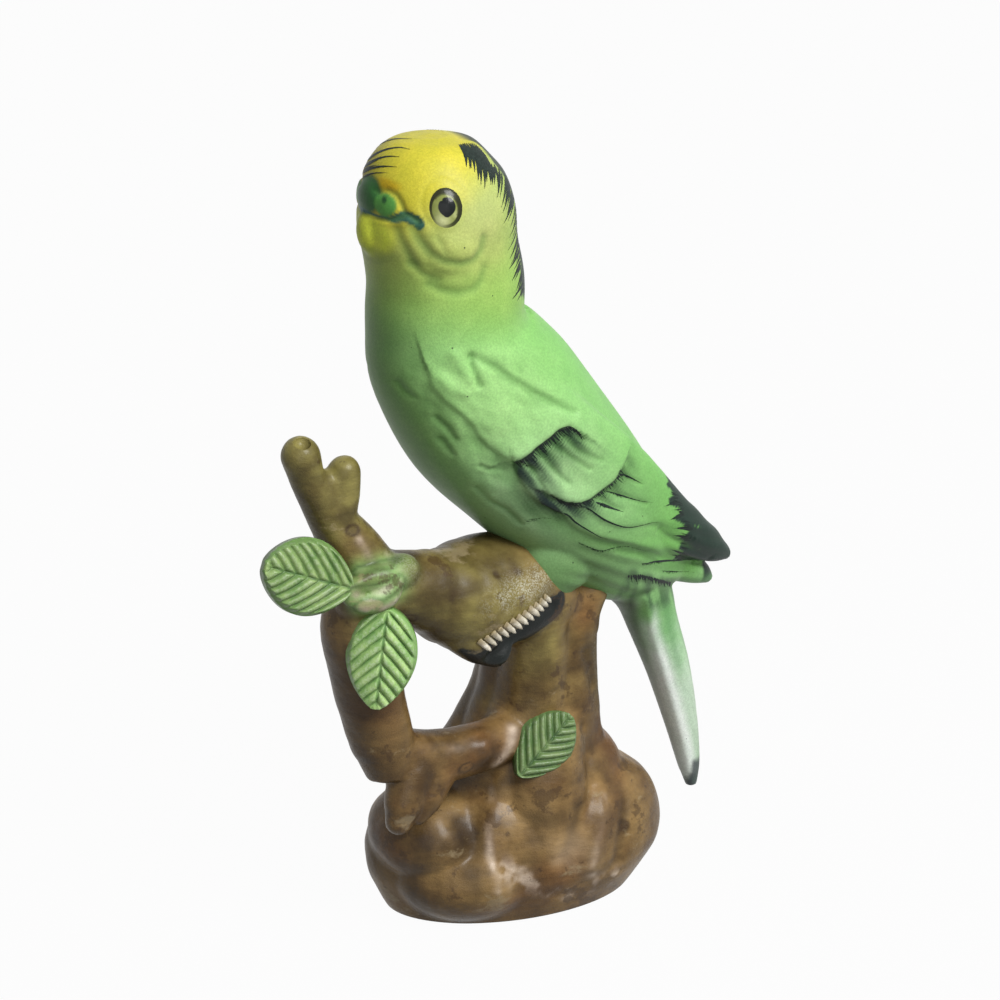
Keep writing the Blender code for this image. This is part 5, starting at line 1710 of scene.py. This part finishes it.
@dataclass
class Brushwork:
    """Fine black strokes laid on the bird's skin as thin tapered ribbons (mm)."""

    lift: float = 0.05
    step: float = 0.5
    seed: int = 17
    tuft: int = 15
    tip_hairs: int = 30
    root_hairs: int = 26
    verts: list = field(default_factory=list)
    faces: list = field(default_factory=list)
    loads: list = field(default_factory=list)

    def build(self, bird: Bird, host: BVHTree) -> bpy.types.Object:
        """Lay every stroke and return them as one piece.

        Args:
            bird: whose carving they follow.
            host: the bird's skin.

        Returns:
            The piece.
        """
        rng = np.random.default_rng(self.seed)
        for side in Side:
            self.coverts(bird, side, rng, host)
            self.outlines(side, host)
            self.wing_tip(side, rng, host)
            self.fringe(side, rng, host)
            self.crown_patch(side, rng, host)
            self.tail_streaks(side, rng, host)
        self.forehead(rng, host)
        piece = new_piece("brush_strokes", self.verts, self.faces)
        Skin(piece).mark("load", np.array(self.loads))
        return settle(piece, InkFinish())

    def on_flank(self, spot: Row, side: Side, host: BVHTree) -> Array | None:
        """Return the point of a flank at x and z."""
        hit = host.ray_cast(Vector((spot[0], side.value * 40.0, spot[1])) * MM,
                            Vector((0.0, -side.value, 0.0)))
        return None if hit[0] is None else np.array(hit[0]) / MM

    def stroke(self, spots: list, width: float, load: tuple[float, float], host: BVHTree,
               swell: float = 0.3) -> None:
        """Lay one stroke.

        Args:
            spots: surface points along it; it is dropped if one is missing.
            width: its width at the widest.
            load: how wet the brush is at the start and at the end.
            host: the skin it lies on.
            swell: share of the way along where it is widest.
        """
        if any(p is None for p in spots):
            return
        length = sum(np.linalg.norm(b - a) for a, b in zip(spots[:-1], spots[1:]))
        count = max(4, int(length / self.step) + 2)
        line = share_out(tuple(tuple(p) for p in spread(tuple(tuple(p) for p in spots), 5)), count)
        first = len(self.verts)
        for i, p in enumerate(line):
            t = i / (count - 1)
            hit = host.find_nearest(Vector(p) * MM)
            spot, out = np.array(hit[0]) / MM, np.array(hit[1])
            run = line[min(i + 1, count - 1)] - line[max(i - 1, 0)]
            across = np.cross(out, run)
            across /= np.linalg.norm(across) + 1e-9
            shape = min(1.0, (t + 0.05) / swell) if t < swell else (1.0 - t) / (1.0 - swell)
            half = 0.5 * width * max(0.06, shape) ** 0.8
            for k in (-1.0, 0.0, 1.0):
                near = host.find_nearest(Vector(spot + across * half * k) * MM)
                self.verts.append(np.array(near[0]) / MM + np.array(near[1]) * self.lift)
                wet = load[0] * (1 - t) + load[1] * t
                self.loads.append(wet * (1.0 if k == 0.0 else 0.62))
        for i in range(count - 1):
            a = first + 3 * i
            self.faces.append((a, a + 3, a + 4, a + 1))
            self.faces.append((a + 1, a + 4, a + 5, a + 2))

    def flank_stroke(self, line: list, side: Side, width: float, load: tuple[float, float],
                     host: BVHTree, swell: float = 0.3) -> None:
        """Lay a stroke given by x and z on one flank."""
        self.stroke([self.on_flank(p, side, host) for p in line], width, load, host, swell)

    def on_side(self, spots: tuple[Row, ...], side: Side) -> list:
        """Return points given for the near side on one side."""
        return [np.array((x, side.value * abs(y), z)) for x, y, z in spots]

    def coverts(self, bird: Bird, side: Side, rng: np.random.Generator, host: BVHTree) -> None:
        """Lay the fine hairs of the two smoky fans under the scalloped edges.

        Args:
            bird: whose edges they hang from.
            side: which flank.
            rng: the random source.
            host: the bird's skin.
        """
        for k, count, reach in ((2, 70, 5.0), (3, 56, 3.4)):
            edge = spread(bird.steps[k][2], 4)
            self.flank_stroke([edge[i] for i in range(0, len(edge), 3)], side, 0.42, (1.0, 0.7),
                              host, 0.5)
            for spot in share_out(tuple(map(tuple, edge)), count):
                way = np.array((0.64, -0.77)) + rng.normal(0.0, 0.07, 2)
                far = reach * rng.uniform(0.3, 1.0)
                start = spot + rng.normal(0.0, 0.10, 2) + way * 0.1
                self.flank_stroke([start, start + way * far * 0.5, start + way * far
                                   + rng.normal(0.0, 0.12, 2)], side, rng.uniform(0.14, 0.34),
                                  (0.80, 0.12), host, 0.15)

    def outlines(self, side: Side, host: BVHTree) -> None:
        """Lay the thin feather lines over the lower wing.

        Args:
            side: which flank.
            host: the bird's skin.
        """
        rows = (
            (((4.3, 82.5), (6.4, 81.4), (9.3, 78.9), (12.3, 77.0), (15.6, 75.5), (19.8, 74.8),
              (24.2, 74.0)), 0.34, 0.9),
            (((0.3, 81.3), (1.8, 81.2), (4.1, 79.0), (6.9, 76.8), (10.0, 74.6), (12.2, 73.6)),
             0.34, 0.9),
            (((7.9, 82.3), (10.8, 80.7), (14.2, 78.9)), 0.62, 0.95),
            (((10.1, 84.0), (13.9, 82.1), (17.6, 80.2), (21.6, 78.6)), 0.32, 0.8),
            (((13.0, 86.7), (15.2, 85.5), (18.5, 83.3)), 0.40, 0.85),
            (((-4.4, 79.9), (-1.1, 80.2), (2.0, 79.0)), 0.26, 0.5),
            (((5.8, 74.1), (10.1, 71.6), (12.8, 71.5), (16.5, 71.0), (21.9, 68.2), (26.0, 66.3)),
             0.28, 0.55),
            (((20.6, 66.0), (25.0, 64.8), (29.0, 63.4), (34.3, 61.5), (40.0, 59.6)), 0.42, 1.0),
            (((27.0, 62.0), (32.0, 59.8), (38.6, 57.4)), 0.26, 0.6))
        for line, width, load in rows:
            self.flank_stroke([np.array(p) for p in line], side, width, (load, load * 0.6), host)
            wash = [np.array(p) + (0.2, -0.3) for p in line]
            self.flank_stroke(wash, side, width * 3.0, (0.42, 0.15), host)

    def wing_tip(self, side: Side, rng: np.random.Generator, host: BVHTree) -> None:
        """Lay the dry bars and the ragged near edge of the black wing tip.

        Args:
            side: which flank.
            rng: the random source.
            host: the bird's skin.
        """
        bars = (((24.4, 77.0), (28.6, 76.5), 0.8), ((25.9, 73.8), (29.9, 73.6), 0.9),
                ((27.1, 71.7), (32.6, 69.9), 0.9), ((27.7, 69.9), (32.0, 68.1), 0.8),
                ((27.5, 67.0), (33.6, 62.9), 0.9), ((28.6, 65.0), (34.0, 62.0), 0.7))
        for start, end, width in bars:
            ends = np.array(end), np.array(start)
            self.flank_stroke([ends[0], (ends[0] + ends[1]) * 0.5 + (0.1, 0.15), ends[1]], side, width,
                              (1.0, 0.35), host, 0.2)
        for spot in share_out(((26.8, 79.0), (28.8, 75.0), (30.8, 69.6), (31.4, 62.6)),
                              self.tip_hairs):
            way = np.array((-0.86, 0.42)) + rng.normal(0.0, 0.12, 2)
            far = rng.uniform(0.8, 2.4)
            start = spot + np.array((1.4, -0.6)) + rng.normal(0.0, 0.3, 2)
            self.flank_stroke([start, start + way * (far + 1.2) * 0.5, start + way * (far + 1.2)],
                              side, rng.uniform(0.16, 0.32), (0.9, 0.25), host, 0.25)

    def fringe(self, side: Side, rng: np.random.Generator, host: BVHTree) -> None:
        """Lay the comb of short strokes down both borders of the nape.

        Args:
            side: which side of the nape.
            rng: the random source.
            host: the bird's skin.
        """
        rows = (
            ((-8.9, -8.0, 143.7), (-9.9, -10.2, 142.1)), ((-8.2, -7.8, 143.3), (-9.2, -10.6, 140.6)),
            ((-7.3, -8.0, 142.4), (-9.1, -10.8, 140.1)), ((-6.1, -7.6, 141.3), (-8.3, -10.7, 138.8)),
            ((-5.5, -7.6, 140.0), (-7.9, -10.8, 137.6)), ((-5.2, -8.0, 138.6), (-7.0, -10.4, 136.8)),
            ((-4.9, -8.0, 137.7), (-7.7, -11.2, 135.6)), ((-4.2, -7.4, 136.0), (-6.2, -9.8, 134.2)),
            ((-3.6, -6.8, 134.2), (-6.4, -10.0, 132.4)), ((-3.2, -6.5, 132.3), (-6.3, -10.3, 130.5)),
            ((-3.1, -6.4, 131.0), (-6.1, -10.3, 129.0)), ((-3.1, -6.7, 129.4), (-5.8, -10.3, 127.7)),
            ((-3.8, -8.2, 128.1), (-6.7, -11.1, 126.9)), ((-4.1, -9.0, 126.3), (-6.2, -11.0, 125.0)),
            ((-4.1, -9.3, 124.6), (-5.6, -10.8, 123.1)), ((-3.8, -9.3, 122.4), (-6.2, -11.3, 121.5)))
        for start, end in rows:
            head, foot = self.on_side((start, end), side)
            for extra in (0.0, 0.75):
                shift = rng.normal(0.0, 0.15, 3) - (0.0, 0.0, extra)
                back = head + (head - foot) * 0.35 + shift
                tail = head + (foot - head) * (1.3 - 0.45 * extra) + shift
                middle = (back + tail) * 0.5 + (0.15, 0.0, 0.25)
                self.stroke([back, middle, tail], rng.uniform(0.62, 0.95) * (1.0 - 0.35 * extra),
                            (1.0, 0.55), host, 0.25)

    def crown_patch(self, side: Side, rng: np.random.Generator, host: BVHTree) -> None:
        """Lay the dark tuft behind the crown, ragged at its lower edge.

        Args:
            side: which side of the crown.
            rng: the random source.
            host: the bird's skin.
        """
        tops = ((-14.0, -5.6, 147.9), (-12.4, -5.0, 147.6), (-10.6, -4.5, 147.2),
                (-9.4, -5.8, 145.6))
        ends = ((-14.8, -8.4, 145.0), (-13.4, -10.4, 143.0), (-12.2, -11.4, 141.6),
                (-9.8, -9.6, 142.4))
        heads = share_out(tops, self.tuft)
        tails = share_out(ends, self.tuft)
        for head, foot in zip(heads, tails):
            head, foot = self.on_side((tuple(head), tuple(foot)), side)
            foot = foot + rng.normal(0.0, 0.30, 3)
            middle = (head + foot) * 0.5 + (0.25, 0.0, 0.2)
            self.stroke([head, middle, foot], rng.uniform(0.75, 1.05), (1.0, 0.65), host, 0.45)

    def tail_streaks(self, side: Side, rng: np.random.Generator, host: BVHTree) -> None:
        """Lay the fading streaks at the root of the tail.

        Args:
            side: which flank.
            rng: the random source.
            host: the bird's skin.
        """
        for top in share_out(((18.0, 64.2), (20.8, 63.6), (25.2, 61.2), (30.6, 58.0)),
                             self.root_hairs):
            way = np.array((0.42 + rng.normal(0.0, 0.06), -0.9)) * rng.uniform(1.5, 4.5)
            self.flank_stroke([top, top + way * 0.5, top + way], side, rng.uniform(0.3, 0.6),
                              (0.85, 0.15), host, 0.2)

    def forehead(self, rng: np.random.Generator, host: BVHTree) -> None:
        """Lay the bars that sweep over the crown from the far side to the brow.

        Args:
            rng: the random source.
            host: the bird's skin.
        """
        bars = (
            (((-23.6, 7.0, 145.2), (-23.1, 3.6, 147.3), (-22.2, 1.2, 148.4), (-20.6, -1.2, 149.0)),
             0.85),
            (((-25.6, 6.2, 143.6), (-25.8, 2.9, 145.3), (-24.5, -0.2, 147.0), (-23.3, -2.2, 147.7),
              (-22.3, -4.0, 147.6)), 0.80),
            (((-26.4, 5.2, 142.8), (-26.7, 1.8, 144.6), (-25.6, -1.0, 146.0), (-24.1, -3.8, 146.5)),
             0.72),
            (((-27.0, 4.8, 142.0), (-27.4, 1.3, 143.7), (-26.4, -2.1, 144.8), (-25.1, -4.8, 145.2)),
             0.62),
            (((-27.9, 3.0, 141.6), (-27.7, -0.1, 143.3), (-26.4, -3.9, 144.2)), 0.34))
        for spots, width in bars:
            spots = [np.array(p) for p in spots]
            self.stroke(spots, width, (1.0, 0.7), host, 0.3)
            jog = rng.normal(0.0, 0.1, 3) + (0.1, 0.0, 0.35)
            self.stroke([p + jog for p in spots[:-1]], width * 0.6, (0.9, 0.3), host, 0.3)


@dataclass
class Studio:
    """White sweep, soft lamps and the camera of the photograph."""

    azimuth: float = -28.0
    elevation: float = 22.0
    distance: float = 0.520
    lens: float = 96.84
    look_at: Point = (0.0104, 0.0254, 0.0676)
    key_at: Point = (0.15, -0.46, 0.62)
    key_size: float = 0.34
    key: float = 7.2
    fill_at: Point = (-0.30, -0.62, 0.24)
    fill_size: float = 0.50
    fill: float = 0.80
    aim_at: Point = (0.0, 0.0, 0.085)
    sky: float = 0.10
    floor_half: float = 2.0
    floor_drop: float = 0.0004
    floor_grey: float = 0.20
    floor_white: float = 0.97

    def build(self) -> None:
        """Set the camera, the lamps, the floor and the world."""
        self.camera()
        self.lamp("key", self.key_at, self.key_size, self.key)
        self.lamp("fill", self.fill_at, self.fill_size, self.fill)
        self.floor()
        self.world()

    def camera(self) -> None:
        """Set the camera."""
        az, el = math.radians(self.azimuth), math.radians(self.elevation)
        way = Vector((math.sin(az) * math.cos(el), -math.cos(az) * math.cos(el), math.sin(el)))
        eye = bpy.data.cameras.new("camera")
        eye.lens = self.lens
        eye.sensor_width = 36.0
        eye.clip_start = 0.01
        holder = bpy.data.objects.new("camera", eye)
        bpy.context.scene.collection.objects.link(holder)
        holder.location = Vector(self.look_at) + way * self.distance
        holder.rotation_euler = (-way).to_track_quat("-Z", "Y").to_euler()
        bpy.context.scene.camera = holder

    def lamp(self, name: str, place: Point, size: float, power: float) -> None:
        """Add a soft square lamp aimed at the bird.

        Args:
            name: its name.
            place: where it stands, in metres.
            size: its side in metres.
            power: its power in watts.
        """
        light = bpy.data.lights.new(name, "AREA")
        light.shape = "SQUARE"
        light.size = size
        light.energy = power
        holder = bpy.data.objects.new(name, light)
        bpy.context.scene.collection.objects.link(holder)
        holder.location = place
        aim = Vector(self.aim_at) - Vector(place)
        holder.rotation_euler = aim.to_track_quat("-Z", "Y").to_euler()

    def floor(self) -> None:
        """Add the pale floor."""
        mesh = bpy.data.meshes.new("floor")
        bm = bmesh.new()
        bmesh.ops.create_grid(bm, x_segments=1, y_segments=1, size=self.floor_half)
        bm.to_mesh(mesh)
        bm.free()
        floor = bpy.data.objects.new("floor", mesh)
        floor.location.z = -self.floor_drop
        bpy.context.scene.collection.objects.link(floor)
        g = Graph("white sweep")
        g.shader.inputs["Base Color"].default_value = (*[self.floor_grey] * 3, 1)
        g.shader.inputs["Roughness"].default_value = 0.9
        path = g.node("LightPath")
        seen = g.math("MAXIMUM", path.outputs["Is Camera Ray"],
                      g.math("MAXIMUM", path.outputs["Is Glossy Ray"],
                             path.outputs["Is Transmission Ray"]))
        glow = g.node("Emission", Color=(1, 1, 1, 1), Strength=1.0)
        mixed = g.node("MixShader", Fac=g.math("MULTIPLY", seen, self.floor_white))
        g.tree.links.new(g.shader.outputs[0], mixed.inputs[1])
        g.tree.links.new(glow.outputs[0], mixed.inputs[2])
        g.tree.links.new(mixed.outputs[0], g.tree.nodes["Material Output"].inputs["Surface"])
        mesh.materials.append(g.material)

    def world(self) -> None:
        """Set a dim sky that is white to the camera."""
        world = bpy.data.worlds.new("sweep")
        bpy.context.scene.world = world
        world.use_nodes = True
        tree = world.node_tree
        sky = tree.nodes["Background"]
        sky.inputs["Color"].default_value = (1, 1, 1, 1)
        path = tree.nodes.new("ShaderNodeLightPath")
        shown = path.outputs["Is Camera Ray"]
        for ray in ("Is Glossy Ray", "Is Transmission Ray"):
            either = tree.nodes.new("ShaderNodeMath")
            either.operation = "MAXIMUM"
            tree.links.new(shown, either.inputs[0])
            tree.links.new(path.outputs[ray], either.inputs[1])
            shown = either.outputs[0]
        level = tree.nodes.new("ShaderNodeMapRange")
        level.inputs["To Min"].default_value = self.sky
        level.inputs["To Max"].default_value = 1.0
        tree.links.new(shown, level.inputs["Value"])
        tree.links.new(level.outputs["Result"], sky.inputs["Strength"])


def skin_tree(piece: bpy.types.Object) -> BVHTree:
    """Return a search tree over a piece's skin.

    Args:
        piece: the piece.

    Returns:
        The tree.
    """
    bm = bmesh.new()
    bm.from_mesh(piece.data)
    tree = BVHTree.FromBMesh(bm)
    bm.free()
    return tree


def main() -> None:
    """Build the figurine and its studio."""
    logging.basicConfig(level=logging.INFO, format="%(message)s")
    bpy.context.scene.view_settings.view_transform = "Standard"
    Studio().build()
    bird = Bird()
    bird_skin = skin_tree(bird.build())
    Eyes().build(bird_skin)
    Brushwork().build(bird, bird_skin)
    stump = Stump()
    wood_skin = skin_tree(stump.build())
    Splinters().build(stump, wood_skin)
    # The upper and low leaves are darkened as painted shade.
    for leaf in (
            Leaf("leaf_upper", (-40.0, -15.0, 75.2), (-55.4, -13.6, 82.0), (-0.34, -0.86, 0.38), 6.7,
                 shade=(0.66, 0.65, 0.63)),
            Leaf("leaf_hanging", (-33.8, -16.0, 70.4), (-36.4, -16.2, 52.0), (-0.40, -0.88, 0.24),
                 6.2, 0.46),
            Leaf("leaf_low", (-5.8, -12.3, 29.2), (5.8, -11.0, 38.4), (-0.30, -0.90, 0.30), 5.3, 0.54,
                 shade=(0.46, 0.46, 0.47))):
        leaf.build()


if __name__ == "__main__":
    main()
